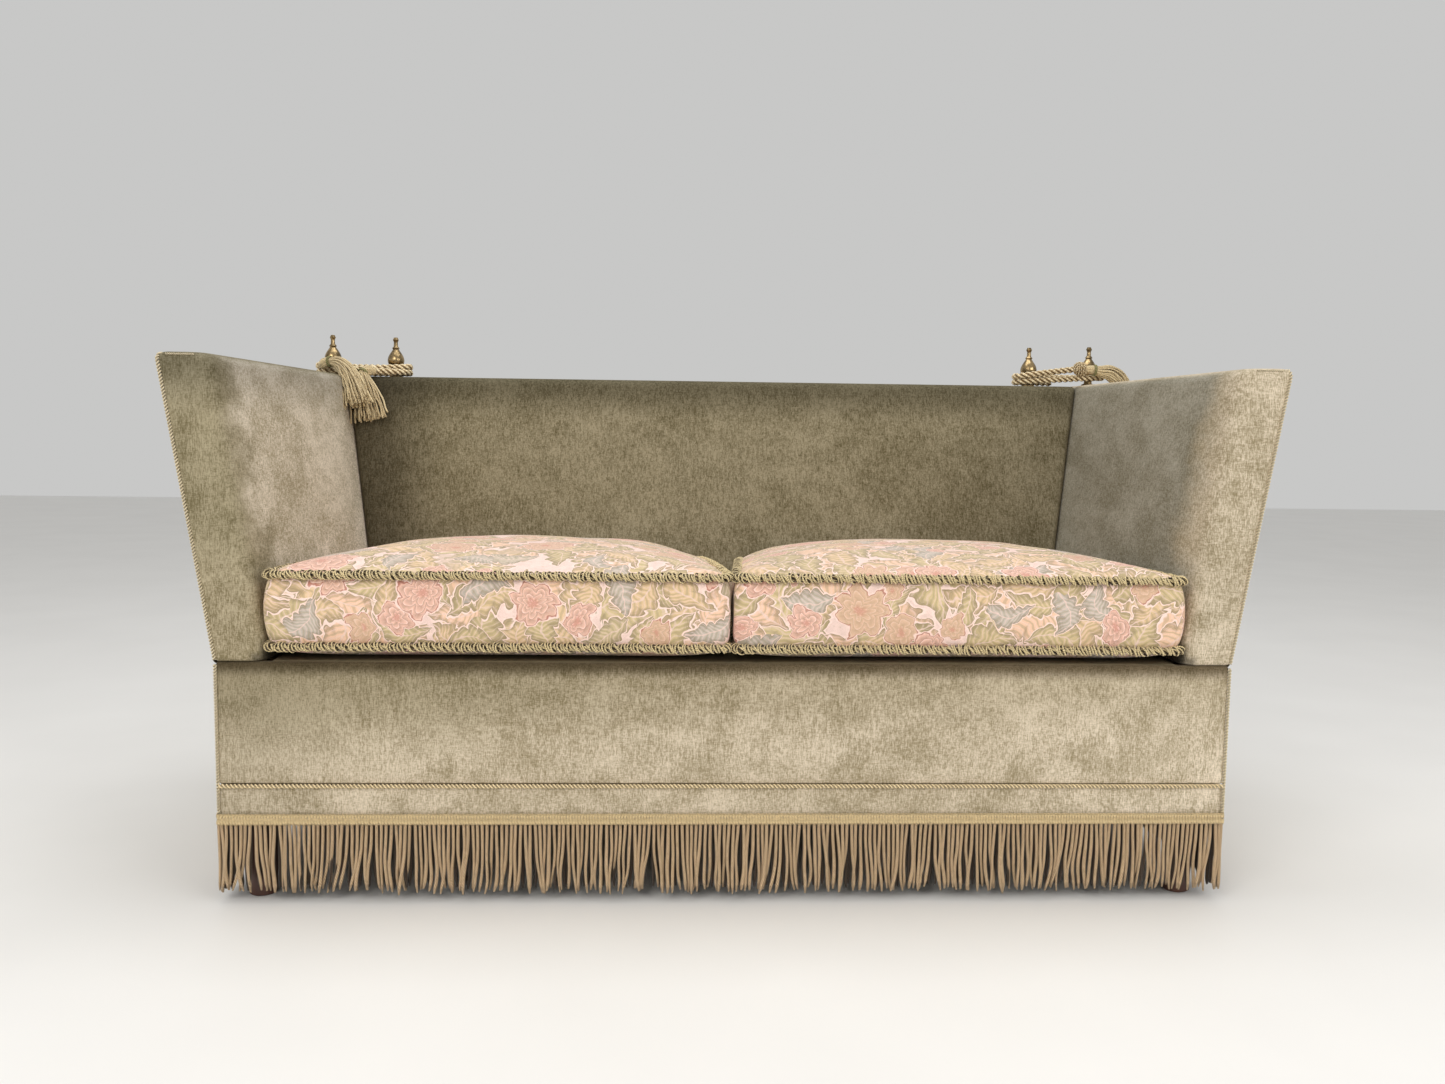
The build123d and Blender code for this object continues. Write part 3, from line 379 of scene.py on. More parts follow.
def velvet_finish(name, dark, light, seed=0.0, zones=(), mottle=0.17, streak=0.16, run=1.0):
    """Mohair pile: soft patches, fine upright streaks and light flecks; each zone washes it lighter or darker with
    painted light and shade.
    """
    finish = Finish(name)
    spot = finish.place()
    place = finish.stretched(spot, (1, run, 1), shift=(seed, seed / 2, seed))
    patches = finish.cloud(place, 7.0, 2.0, 0.5, 0.7)
    blotch = finish.cloud(finish.stretched(place, (22, 22, 26)), 1.0, 3.0, 0.6)
    streaks = finish.cloud(finish.stretched(place, (260, 260, 26)), 1.0, 3.0, 0.65)
    pile = finish.cloud(finish.stretched(place, (640, 640, 150)), 1.0, 3.0, 0.7)
    weft = finish.cloud(finish.stretched(place, (150, 150, 680)), 1.0, 3.0, 0.7)
    fleck = pile * 0.62 + weft * 0.38
    nap = (finish.rise(patches, 0.36, 0.64) - 0.5) * mottle + (finish.rise(blotch, 0.34, 0.66) - 0.5) * mottle
    nap = nap + (finish.rise(streaks, 0.3, 0.7) - 0.5) * streak + (finish.rise(fleck, 0.34, 0.66) - 0.5) * 0.62 + 0.5
    base = finish.mix(finish.rise(nap, 0.0, 1.0), dark, light)
    parts = finish.parts(spot)
    parts.append(abs(parts[0]) - parts[2] * ARM_RUN)
    ragged = (patches - 0.5) * 0.16 + (blotch - 0.5) * 0.08
    # Each zone multiplies the pile's colour by its own: painted light where it lightens, painted shade where it
    # darkens.
    for part, low, high, colour, *further in zones:
        share = finish.rise(parts[part], low, high)
        for other, near, far in further:
            way = parts[other] + ragged if abs(far - near) > 0.05 else parts[other]
            share = share * finish.rise(way, near, far)
        base = finish.wash(share, base, colour)
    finish.surface({"Base Color": base, "Roughness": 0.88, "Sheen Weight": 0.2, "Sheen Roughness": 0.5})
    finish.surface({"Sheen Tint": (*tint(light, 1.2), 1), "Specular IOR Level": 0.15})
    finish.relief(fleck * 0.8 + streaks * 0.3, 0.0012, 0.5)
    return finish.material


def yarn_finish(name, dark, light, turns=2.0, pitch=170.0):
    """Spun yarn: fibres wind round each ply, with painted shade where two plies meet."""
    finish = Finish(name)
    across, length, _ = finish.parts(finish.cloth_place())
    fibres = finish.spun(across, length, turns, pitch)
    fleck = finish.cloud(finish.place(), 420.0, 3.0, 0.65)
    drift = finish.cloud(finish.place(), 30.0, 2.0, 0.5)
    tone = fibres * 0.15 + finish.rise(fleck, 0.3, 0.7) * 0.35 + finish.rise(drift, 0.3, 0.7) * 0.2 + 0.35
    # Painted shade: each ply is darker on its sides and inner face, where it meets the others, and lightest on its
    # outer face.
    tone = tone * (finish.rise((across * (2 * pi)).cosine(), -0.1, 0.8) * 0.85 + 0.15)
    finish.surface({"Base Color": finish.mix(finish.rise(tone, 0.0, 1.0), dark, light), "Roughness": 0.7})
    finish.surface({"Sheen Weight": 0.2, "Specular IOR Level": 0.3})
    finish.relief(fibres * 0.6 + fleck * 0.4, 0.0006, 0.7)
    return finish.material


def strand_finish(name, dark, light, turns, pitch, groove_shade=0.34, lift=0.02, inner_side_shade=0.0):
    """Strands that each have a tone of their own, with a tight twist that runs along them; painted shade darkens the
    twist's grooves and, where asked, each yarn's inner side.
    """
    finish = Finish(name)
    tone = finish.node("ShaderNodeAttribute", {"attribute_name": "tone"}, {}, "Fac")
    across, length, _ = finish.parts(finish.cloth_place())
    twist = finish.spun(across, length, turns, pitch)
    fleck = finish.cloud(finish.place(), 380.0, 2.0, 0.6)
    # The twist lightens the ridges and darkens the grooves: painted shade.
    share = tone * 0.36 + finish.rise(twist, -0.9, 0.5) * groove_shade + finish.rise(fleck, 0.3, 0.7) * 0.26 + lift
    # Painted shade on the side of each yarn that faces inwards, lightest on its outer face.
    if inner_side_shade:
        share = share * (finish.rise((across * (2 * pi)).cosine(), -0.2, 0.6) * inner_side_shade + (1 - inner_side_shade))
    finish.surface({"Base Color": finish.mix(finish.rise(share, 0.0, 1.0), dark, light), "Roughness": 0.66})
    finish.surface({"Sheen Weight": 0.2, "Specular IOR Level": 0.3})
    finish.relief(twist * 0.7 + fleck * 0.3, 0.0012, 0.9)
    return finish.material


def scattered(finish, place, scale, shift, spread):
    """For each place: the offset from the nearest of many scattered spots and that spot's chances."""
    spot = finish.stretched(place, (scale, scale, scale), shift=shift)
    settings = {"voronoi_dimensions": "2D", "feature": "F1"}
    distance = finish.node("ShaderNodeTexVoronoi", settings, {"Vector": spot, "Scale": 1.0, "Randomness": spread})
    voronoi = distance.socket.node
    centre, chance = Signal(finish, voronoi.outputs["Position"]), Signal(finish, voronoi.outputs["Color"])
    offset = finish.node("ShaderNodeVectorMath", {"operation": "SUBTRACT"}, {0: spot, 1: centre})
    east, north, _ = finish.parts(offset)
    return spot, distance, east, north, finish.parts(chance)


def blossoms(finish, base, place, scale, shift, radius, petals, bare, rims):
    """Full-blown flowers: ruffled petals that overlap like scales, pale rims, a warm heart."""
    c = colours()
    spot, distance, east, north, (turn, size, kind) = scattered(finish, place, scale, shift, 0.75)
    angle = north.sum("ARCTAN2", north, east) + turn * 6.28
    wobble = finish.cloud(spot, 9.0, 2.0, 0.55) - 0.5
    even, odd = abs((angle * (petals / 2)).sine()), abs((angle * (petals / 2)).cosine())
    edge = (0.82 + even * 0.26 + wobble * 0.5) * radius * (0.8 + size * 0.35)
    inward = distance / edge
    first = inward.sum("FRACT", inward * rims - even * 0.55 + wobble * 0.9 + 2.0)
    second = inward.sum("FRACT", inward * rims - odd * 0.55 + wobble * 0.9 + 2.5)
    strokes = ((angle * 26 + wobble * 14).sine()) * (1 - first)
    petal = finish.mix(first * 0.62 + second * 0.38, tint(c.blossom, 0.7), tint(c.blossom, 1.36))
    petal = finish.over(petal, strokes, 0.1, 0.8, tint(c.blossom_heart, 0.85), 0.25)
    petal = finish.over(petal, first, 0.8, 0.95, tint(c.ground, 1.06), 0.8)
    petal = finish.below(petal, first, 0.03, 0.14, tint(c.blossom_heart, 0.8), 0.5)
    petal = finish.over(petal, turn, 0.45, 0.6, c.gold, 0.5)
    petal = finish.below(petal, inward, 0.08, 0.34, c.blossom_heart, 0.6)
    shown = finish.rise(kind, bare, bare + 0.02)
    depth = edge - distance
    base = finish.over(base, depth, -0.02, -0.008, tint(c.ground, 1.08), shown)
    base = finish.over(base, depth, -0.002, 0.006, tint(c.blossom_heart, 0.78), shown)
    return finish.over(base, depth, 0.008, 0.018, petal, shown)


def leaves(finish, base, place, scale, shift, tone, other, bare, wide, half=0.55):
    """Lobed leaves with a pale outline, a midrib and veins that sweep forwards."""
    c = colours()
    _, _, east, north, (turn, size, kind) = scattered(finish, place, scale, shift, 0.85)
    angle = turn * 6.28
    along = east * angle.cosine() + north * angle.sine()
    across = north * angle.cosine() - east * angle.sine() + along * along * 0.9 - 0.06
    beside = abs(across)
    lobes = abs(((along + beside * 0.7) * 14.0).sine())
    width = (1 - (along / half) * (along / half)) * wide * (0.66 + lobes * 0.34) * (0.8 + size * 0.4)
    depth = width - beside
    veins = ((along - beside * 0.8) * 58.0).sine()
    fold = finish.rise(depth, 0.0, 0.16)
    strokes = finish.rise((depth * 170).sine(), -0.2, 0.9) * (1 - finish.rise(depth, 0.03, 0.13))
    body = finish.mix(fold, tint(tone, 0.7), tint(tone, 1.2))
    body = finish.over(body, kind, 0.5, 0.62, finish.mix(fold, tint(other, 0.74), tint(other, 1.18)))
    body = finish.over(body, veins, 0.2, 0.9, tint(c.leaf, 0.66), 0.4)
    body = finish.over(body, -1 * veins, 0.5, 1.0, tint(c.ground, 0.98), 0.4)
    body = finish.mix(strokes * 0.42, body, tint(c.leaf, 0.58))
    body = finish.below(body, beside, 0.006, 0.018, tint(c.ground, 0.96), 0.7)
    shown = finish.rise(size, bare, bare + 0.02)
    base = finish.over(base, depth, -0.034, -0.02, tint(c.ground, 1.1), shown)
    base = finish.over(base, depth, -0.002, 0.006, tint(c.leaf, 0.62), shown)
    return finish.over(base, depth, 0.009, 0.018, body, shown)


def floral_finish():
    """A woven floral design: lobed leaves and full flowers crowd a pale ground."""
    c = colours()
    finish = Finish("floral_weave")
    cloth = finish.cloth_place()
    settings, inputs = {"noise_dimensions": "2D"}, {"Vector": cloth, "Scale": 17.0, "Detail": 3.0}
    wander = finish.node("ShaderNodeTexNoise", settings, inputs, "Color")
    drift = finish.node("ShaderNodeVectorMath", {"operation": "SCALE"}, {0: wander, "Scale": 0.034})
    place = finish.node("ShaderNodeVectorMath", {"operation": "ADD"}, {0: cloth, 1: drift})
    mottle = finish.cloud(place, 60.0, 3.0, 0.6)
    base = finish.mix(finish.rise(mottle, 0.3, 0.7), tint(c.ground, 0.92), tint(c.ground, 1.05))
    rosy = [(a + b) / 2 for a, b in zip(tint(c.blossom, 1.2), c.gold)]
    for scale, shift, tone, other, bare, wide in (
        (7.8, (4.4, 5.5, 0), tint(c.leaf, 1.12), rosy, 0.0, 0.4),
        (9.2, (1.3, 8.1, 0), tint(c.gold, 1.06), rosy, 0.0, 0.36),
        (10.5, (0.3, 4.1, 0), rosy, tint(c.gold, 0.98), 0.0, 0.31),
        (11.5, (7.7, 1.9, 0), c.leaf, tint(c.leaf, 1.14), 0.1, 0.27),
        (12.5, (3.4, 6.2, 0), c.gold, c.leaf, 0.25, 0.26),
        (14.0, (5.1, 2.7, 0), tint(c.leaf, 1.08), c.accent, 0.4, 0.26),
    ):
        base = leaves(finish, base, place, scale, shift, tone, other, bare, wide)
    base = blossoms(finish, base, place, 11.5, (2.2, 0.7, 0), 0.23, 5, 0.4, 2.4)
    base = blossoms(finish, base, place, 7.0, (0.9, 3.3, 0), 0.25, 7, 0.35, 3.6)
    across, along, _ = finish.parts(cloth)
    rib = (along * (2 * pi / 0.0013)).sine()
    pick = (across * (2 * pi / 0.0017)).sine()
    fleck = finish.cloud(finish.stretched(cloth, (900, 420, 1)), 1.0, 2.0, 0.6)
    threads = finish.cloud(finish.stretched(place, (150, 210, 1)), 1.0, 4.0, 0.7)
    worn = finish.over(base, threads, 0.52, 0.72, tint(c.ground, 1.02), 0.3)
    worn = finish.below(worn, threads, 0.3, 0.48, tint(c.gold, 0.72), 0.3)
    worn = finish.over(worn, fleck, 0.35, 0.72, tint(c.gold, 0.8), 0.25)
    worn = finish.over(worn, rib * 0.5 + pick * 0.5, 0.2, 1.0, tint(c.ground, 1.08), 0.14)
    finish.surface({"Base Color": worn, "Roughness": 0.82, "Sheen Weight": 0.15, "Specular IOR Level": 0.2})
    finish.relief(rib * 0.3 + pick * 0.2 + fleck * 0.5, 0.0006, 0.5)
    return finish.material


def brass_finish():
    """Brass gone brown and rougher in scattered patches."""
    c = colours()
    finish = Finish("aged_brass")
    place = finish.place()
    cloud = finish.cloud(place, 70.0, 4.0, 0.6)
    speck = finish.cloud(place, 420.0, 2.0, 0.6)
    age = finish.rise(cloud * 0.7 + speck * 0.3, 0.34, 0.62)
    finish.surface({"Base Color": finish.mix(age, c.brass, tint(c.brass, 0.3)), "Metallic": 1.0})
    finish.surface({"Roughness": age * 0.2 + 0.16})
    finish.relief(speck, 0.0003, 0.4)
    return finish.material


def wood_finish(name, colour, gloss):
    """Grain that runs along the height of a turned or sawn piece."""
    finish = Finish(name)
    place = finish.place()
    grain = finish.cloud(finish.stretched(place, (90, 90, 9)), 1.0, 4.0, 0.6, 0.8)
    pore = finish.cloud(finish.stretched(place, (700, 700, 30)), 1.0, 2.0, 0.5)
    share = finish.rise(grain * 0.8 + pore * 0.3, 0.3, 0.8)
    finish.surface({"Base Color": finish.mix(share, tint(colour, 0.6), tint(colour, 1.3))})
    finish.surface({"Roughness": gloss, "Coat Weight": 0.15})
    finish.relief(pore, 0.0003, 0.4)
    return finish.material


def lining_finish(name, colour):
    """Plain weave for hessian, platform cloth and the dust cover."""
    finish = Finish(name)
    east, north, _ = finish.parts(finish.place())
    weave = (east * 3600).sine() * (north * 3600).sine()
    slub = finish.cloud(finish.place(), 60.0, 3.0, 0.6)
    share = finish.rise(weave * 0.2 + slub, 0.2, 0.9)
    finish.surface({"Base Color": finish.mix(share, tint(colour, 0.75), tint(colour, 1.2)), "Roughness": 0.9})
    finish.relief(weave, 0.0004, 0.5)
    return finish.material


def steel_finish():
    """Drawn wire and pressed hinge leaves, slightly dulled."""
    finish = Finish("dull_steel")
    cloud = finish.cloud(finish.place(), 120.0, 3.0, 0.6)
    finish.surface({"Base Color": finish.mix(cloud, (0.22, 0.21, 0.2), (0.5, 0.49, 0.47)), "Metallic": 1.0})
    finish.surface({"Roughness": cloud * 0.3 + 0.3})
    return finish.material


FINISHES = {}
TREES = {}


def finish_of(name):
    """The named material, made the first time that a piece asks for it."""
    c = colours()
    if name not in FINISHES:
        warm = [value * share for value, share in zip(c.rope_light, (1, 0.95, 0.84))]
        # The inner fringe strands get a much darker copy of the fringe yarn: painted shade behind the outer strands.
        inner_shade_tones = tint(c.fringe_dark, 0.14), tint(c.fringe_dark, 0.42)
        makers = {
            "piping": lambda: yarn_finish("piping_yarn", tint(c.piping, 0.62), tint(c.piping, 1.12)),
            "front_cord": lambda: yarn_finish("front_cord_yarn", tint(c.front_cord, 0.6), tint(c.front_cord, 1.15)),
            "rope": lambda: yarn_finish("rope_yarn", c.rope_dark, c.rope_light),
            "tassel": lambda: strand_finish("tassel_strands", c.rope_dark, warm, 3.0, 300.0, 0.34, 0.2),
            "tie": lambda: yarn_finish("tassel_tie", tint(c.tie, 0.6), tint(c.tie, 1.2)),
            "header": lambda: strand_finish("header_braid", tint(c.header, 0.62), tint(c.header, 1.2), 1.0, 1.0, 0.2),
            "trim": lambda: strand_finish("trim_yarn", c.trim_dark, c.trim_light, 1.0, 2.4, 0.24, 0.42, 0.8),
            "fringe": lambda: strand_finish("fringe_bullion", c.fringe_dark, c.fringe_light, 4.0, 26.0, 0.42, 0.14),
            "shaded_inner_fringe": lambda: strand_finish("fringe_inner_painted_shade", *inner_shade_tones, 4.0, 24.0, 0.4),
            "floral": floral_finish,
            "brass": brass_finish,
            "foot": lambda: wood_finish("foot_wood", c.wood, 0.35),
            "frame_wood": lambda: wood_finish("frame_wood", (0.45, 0.3, 0.16), 0.6),
            "lining": lambda: lining_finish("platform_cloth", tint(c.velvet_dark, 0.8)),
            "hessian": lambda: lining_finish("hessian_weave", (0.4, 0.3, 0.18)),
            "steel": steel_finish,
        }
        makers.update({key: (lambda v=values: velvet_finish(*v)) for key, values in velvets().items()})
        FINISHES[name] = makers[name]()
    return FINISHES[name]


def linked(name, data):
    """A new object that holds a mesh, curve, lamp or camera."""
    holder = bpy.data.objects.new(name, data)
    bpy.context.scene.collection.objects.link(holder)
    return holder


def evaluated(piece):
    """The mesh of a piece as its modifiers leave it."""
    graph = bpy.context.evaluated_depsgraph_get()
    return bpy.data.meshes.new_from_object(piece.evaluated_get(graph))


def reworked(mesh, *steps):
    """Runs bmesh steps on a mesh, which end with its faces turned outwards."""
    work = bmesh.new()
    work.from_mesh(mesh)
    for step in steps:
        step(work)
    bmesh.ops.recalc_face_normals(work, faces=work.faces)
    work.to_mesh(mesh)
    work.free()


def new_piece(name, mesh, finish, body):
    """A finished mesh as a piece of the sofa, riding on its body."""
    piece = linked(name, mesh)
    mesh.materials.clear()
    mesh.materials.append(finish_of(finish))
    if body:
        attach(piece, body)
    return piece


def ring_mesh(name, strips, closed=True, weld=0.0, wound=True):
    """Quads through strips of rings; the UV map is metres along, and turns or metres around."""
    verts, faces, flat, tones = [], [], [], []
    for number, rings in enumerate(strips):
        first = len(verts)
        count = len(rings[0])
        columns = count if closed else count - 1
        middle = rings[len(rings) // 2]
        around = [0.0]
        for j in range(columns):
            around.append(around[-1] + (middle[(j + 1) % count] - middle[j]).length)
        if wound:
            around = [a / max(around[-1], 1e-9) for a in around]
        along = [0.0]
        for before, after in zip(rings, rings[1:]):
            along.append(along[-1] + sum((b - a).length for a, b in zip(before, after)) / count)
        for ring in rings:
            verts.extend(ring)
            tones += [(number * GOLDEN_SHARE) % 1.0] * count
        for i in range(len(rings) - 1):
            for j in range(columns):
                k = (j + 1) % count
                low, high = first + i * count, first + (i + 1) * count
                faces.append((low + j, low + k, high + k, high + j))
                near, far = around[j], around[j + 1]
                flat.append(((near, along[i]), (far, along[i]), (far, along[i + 1]), (near, along[i + 1])))
    mesh = bpy.data.meshes.new(name)
    mesh.from_pydata([tuple(v) for v in verts], [], faces)
    layer = mesh.uv_layers.new(name="cloth")
    layer.data.foreach_set("uv", [value for face in flat for corner in face for value in corner])
    if wound:
        mesh.attributes.new("tone", "FLOAT", "POINT").data.foreach_set("value", tones)
    if weld:
        reworked(mesh, lambda work: bmesh.ops.remove_doubles(work, verts=work.verts, dist=weld))
    mesh.polygons.foreach_set("use_smooth", [True] * len(mesh.polygons))
    return mesh


def strand_piece(name, strips, finish, body):
    """Strips of rings as a piece of the sofa."""
    return new_piece(name, ring_mesh(name, strips), finish, body)


def rounded_ring(low, high, z, corners, step, bow):
    """A rounded rectangle seen from above, each side bowed outwards by its own amount.

    Corners start at the front left and go round through the front right.
    """
    (x0, y0), (x1, y1) = low, high
    middle_x, middle_y = (x0 + x1) / 2, (y0 + y1) / 2
    half_x, half_y = (x1 - x0) / 2, (y1 - y0) / 2
    places = ((x0, y0, pi), (x1, y0, 1.5 * pi), (x1, y1, 0.0), (x0, y1, 0.5 * pi))
    spots = []
    for (x, y, start), corner in zip(places, corners):
        radius = min(corner, (x1 - x0) / 2.05, (y1 - y0) / 2.05)
        spots.append((x + radius * (1 if x == x0 else -1), y + radius * (1 if y == y0 else -1), radius, start))
    points = []
    for number, (x, y, radius, start) in enumerate(spots):
        for turn in range(7):
            angle = start + turn * pi / 12
            points.append(Vector((x, y, z)) + Vector((cos(angle), sin(angle), 0)) * radius)
        last = points[-1]
        next_x, next_y = spots[(number + 1) % 4][:2]
        along_x = number % 2 == 0
        target = Vector((next_x if along_x else last.x, last.y if along_x else next_y, z))
        count = step[0 if along_x else 1]
        points += [last.lerp(target, turn / count) for turn in range(1, count)]
    for p in points:
        fx = max(0.0, 1 - ((p.x - middle_x) / half_x) ** 2)
        fy = max(0.0, 1 - ((p.y - middle_y) / half_y) ** 2)
        front, rear = max(0.0, middle_y - p.y) / half_y, max(0.0, p.y - middle_y) / half_y
        right, left = max(0.0, p.x - middle_x) / half_x, max(0.0, middle_x - p.x) / half_x
        p.x += (bow[1] * right ** 4 - bow[3] * left ** 4) * fy
        p.y += (bow[2] * rear ** 4 - bow[0] * front ** 4) * fx
    return points


def edge_inset(radius, past):
    """How far a rounded edge has drawn in, once a level is past where it starts."""
    return radius - sqrt(max(0.0, radius ** 2 - past ** 2)) if past > 0 else 0.0


def end_cap(ring, spacing):
    """Rings that close an end: they shrink to the middle line of its outline."""
    xs, ys = [p.x for p in ring], [p.y for p in ring]
    middle_x, middle_y = (min(xs) + max(xs)) / 2, (min(ys) + max(ys)) / 2
    half_x, half_y = (max(xs) - min(xs)) / 2, (max(ys) - min(ys)) / 2
    keep_x, keep_y = max(0.0, half_x - half_y), max(0.0, half_y - half_x)
    target = [
        Vector((
            middle_x + max(-keep_x, min(keep_x, p.x - middle_x)),
            middle_y + max(-keep_y, min(keep_y, p.y - middle_y)),
            p.z,
        ))
        for p in ring
    ]
    count = max(2, ceil(min(half_x, half_y) / spacing))
    return [[p.lerp(t, k / count) for p, t in zip(ring, target)] for k in range(1, count + 1)]


def block_mesh(name, plan, low, high, corners, top, bottom, step, bow, ripple=0.0006, spacing=0.014):
    """Upholstery over a block: plan gives its outline at a height, and every edge has a radius.

    Edges and bows are given as front, right, back and left.
    """
    widest_top, widest_bottom = max(top), max(bottom)
    levels = [low + widest_bottom * (1 - cos(k * pi / 12)) for k in range(6)]
    body = high - widest_top - low - widest_bottom
    rows = max(2, ceil(body / spacing))
    levels += [low + widest_bottom + body * k / rows for k in range(rows)]
    levels += [high - widest_top * (1 - sin(k * pi / 14)) for k in range(8)]
    rings = []
    for z in levels:
        (x0, y0), (x1, y1) = plan(z)
        inset = [
            max(edge_inset(over, z - high + over), edge_inset(under, low + under - z))
            for over, under in zip(top, bottom)
        ]
        share = max(0.0, 1 - ((z - (low + high) / 2) / ((high - low) / 2)) ** 4)
        swell = [b * share for b in bow]
        near, far = (x0 + inset[3], y0 + inset[0]), (x1 - inset[1], y1 - inset[2])
        rings.append(rounded_ring(near, far, z, corners, step, swell))
    rings = end_cap(rings[0], spacing)[::-1] + rings + end_cap(rings[-1], spacing)
    widest = rings[len(rings) // 2]
    centre = sum(widest, Vector()) / len(widest)
    for ring in rings:
        for p in ring:
            outward = Vector((p.x - centre.x, p.y - centre.y, 0))
            if outward.length > 0 and low + 0.006 < p.z < high:
                p += outward.normalized() * ripple * noise.noise(Vector((p.x * 14, p.y * 14, p.z * 9)))
    return ring_mesh(name, [rings], weld=0.0004)


def frames_along(points, closed=False, level=None):
    """For each point of a line, its direction and two steady directions across it."""
    count = len(points)
    result = []
    side = None
    for i, point in enumerate(points):
        before = points[(i - 1) % count] if closed or i else point
        after = points[(i + 1) % count] if closed or i < count - 1 else point
        ahead = (after - before).normalized()
        if level is not None:
            side = (level - ahead * level.dot(ahead)).normalized()
        elif side is None:
            start = Vector((0, 0, 1)) if abs(ahead.z) < 0.9 else Vector((1, 0, 0))
            side = (start - ahead * start.dot(ahead)).normalized()
        else:
            side = (side - ahead * side.dot(ahead)).normalized()
        result.append((ahead, side, ahead.cross(side)))
    return result


def resampled(points, spacing, closed=False):
    """Points at even distances along a line."""
    line = points + [points[0]] if closed else points
    lengths = [0.0]
    for a, b in zip(line, line[1:]):
        lengths.append(lengths[-1] + (b - a).length)
    count = max(2, round(lengths[-1] / spacing))
    result = []
    j = 0
    for i in range(count if closed else count + 1):
        target = lengths[-1] * i / count
        while j < len(lengths) - 2 and lengths[j + 1] < target:
            j += 1
        span = max(1e-9, lengths[j + 1] - lengths[j])
        result.append(line[j].lerp(line[j + 1], (target - lengths[j]) / span))
    return result, lengths[-1]


def curved(points, steps=CURVE_STEPS):
    """A smooth line through a few points."""
    line = []
    for i in range(len(points) - 1):
        a, b = points[max(i - 1, 0)], points[i]
        c, d = points[i + 1], points[min(i + 2, len(points) - 1)]
        for k in range(steps):
            t = k / steps
            slope, bend, twist = c - a, a * 2 - b * 5 + c * 4 - d, b * 3 - a - c * 3 + d
            line.append(b + slope * (t / 2) + bend * (t * t / 2) + twist * (t ** 3 / 2))
    return line + [points[-1]]


def circle(middle, side, up, radius, sides, start=0.0):
    """Places round a middle, in the plane of two directions."""
    turns = [start + 2 * pi * k / sides for k in range(sides)]
    return [middle + (side * cos(turn) + up * sin(turn)) * radius for turn in turns]


def pinched(ring):
    """A ring drawn in almost to a point, which closes the end of a tube."""
    centre = sum(ring, Vector()) / len(ring)
    return [centre + (p - centre) * PINCH for p in ring]


def twisted_strips(points, radius, plies, turn, sides=7, closed=False, level=None, detail=10):
    """Strips of rings for strands that twist round each other along a line."""
    line, total = resampled(points, turn / detail, closed)
    turns = round(total / turn) if closed else total / turn
    axes = frames_along(line, closed, level)
    strand = 1.04 * (radius / (1 + 1 / sin(pi / plies)) if plies > 2 else radius / 2)
    strips = []
    for ply in range(plies):
        rings = []
        for i, (point, (_, side, up)) in enumerate(zip(line, axes)):
            angle = 2 * pi * (ply / plies + turns * i / (len(line) if closed else len(line) - 1))
            middle = point + (side * cos(angle) + up * sin(angle)) * (radius - strand)
            rings.append(circle(middle, side, up, strand, sides, angle))
        if closed:
            rings.append([p.copy() for p in rings[0]])
        else:
            rings = [pinched(rings[0]), *rings, pinched(rings[-1])]
        strips.append(rings)
    return strips


def tube_rings(points, radii, sides=8, level=None):
    """Rings of a tube whose radius changes along a line, closed at both ends."""
    axes = frames_along(points, level=level)
    rings = [circle(point, side, up, radius, sides) for point, radius, (_, side, up) in zip(points, radii, axes)]
    return [pinched(rings[0]), *rings, pinched(rings[-1])]


def routed(offset):
    """A place counted from where a cord first meets an arm's finial."""
    return (ARM_FINIAL + offset[0], NEAR + offset[1], ARM_TOP + offset[2])


def winding(level):
    """The corners of one turn round both finials."""
    return [(OUTBOARD, NEAR, level), (OUTBOARD, FAR, level), (INBOARD, FAR, level), (INBOARD, NEAR, level)]


# Routes of the cords and tassels, counted outwards from the middle, as the solids have them
LEFT_ROUTE = [
    routed((-0.008, -0.004, 0.026)),
    *winding(NEXT_LEVEL),
    *winding(FIRST_LEVEL),
    routed((-0.0936, -0.014, 0.00685)),
]
RIGHT_ROUTE = [
    routed((-0.068, 0.054, 0.00585)),
    (INBOARD, FAR, FIRST_LEVEL),
    (INBOARD, NEAR, FIRST_LEVEL),
    *winding(NEXT_LEVEL),
    routed((-0.0572, -0.004, 0.029)),
    routed((-0.0392, -0.0065, 0.0315)),
]
UPPER_TASSEL = (
    (0.014, -0.006, 0.015),
    (0.006, -0.010, 0.021),
    (-0.005, -0.014, 0.024),
    (-0.020, -0.020, 0.022),
    (-0.036, -0.032, 0.013),
    (-0.051, -0.047, -0.006),
    (-0.064, -0.064, -0.032),
    (-0.074, -0.077, -0.062),
)
LOWER_TASSEL = (
    (-0.0936, -0.014, 0.00685),
    (-0.082, -0.018, 0.0075),
    (-0.071, -0.023, 0.0045),
    (-0.072, -0.031, -0.008),
    (-0.077, -0.041, -0.028),
    (-0.083, -0.048, -0.056),
    (-0.090, -0.055, -0.092),
)
RIGHT_TASSEL = (
    (-0.020, -0.008, 0.031),
    (-0.010, -0.0095, 0.031),
    (0.000, -0.011, 0.030),
    (0.012, -0.011, 0.028),
    (0.036, -0.010, 0.024),
    (0.058, -0.008, 0.002),
    (0.058, -0.006, -0.030),
    (0.053, -0.006, -0.062),
)


def smooth_route(name, route, side):
    """The points of the smooth line that a cord's corners pull along."""
    curve = bpy.data.curves.new(name, "CURVE")
    curve.dimensions = "3D"
    spline = curve.splines.new("NURBS")
    spline.points.add(len(route) - 1)
    for point, (x, y, z) in zip(spline.points, route):
        point.co = (side * x, y, z, 1)
    spline.order_u = 3
    spline.use_endpoint_u = True
    spline.resolution_u = 24
    carrier = linked(name, curve)
    bpy.context.view_layer.update()
    mesh = bpy.data.meshes.new_from_object(carrier)
    points = [v.co.copy() for v in mesh.vertices]
    bpy.data.objects.remove(carrier)
    bpy.data.meshes.remove(mesh)
    return points


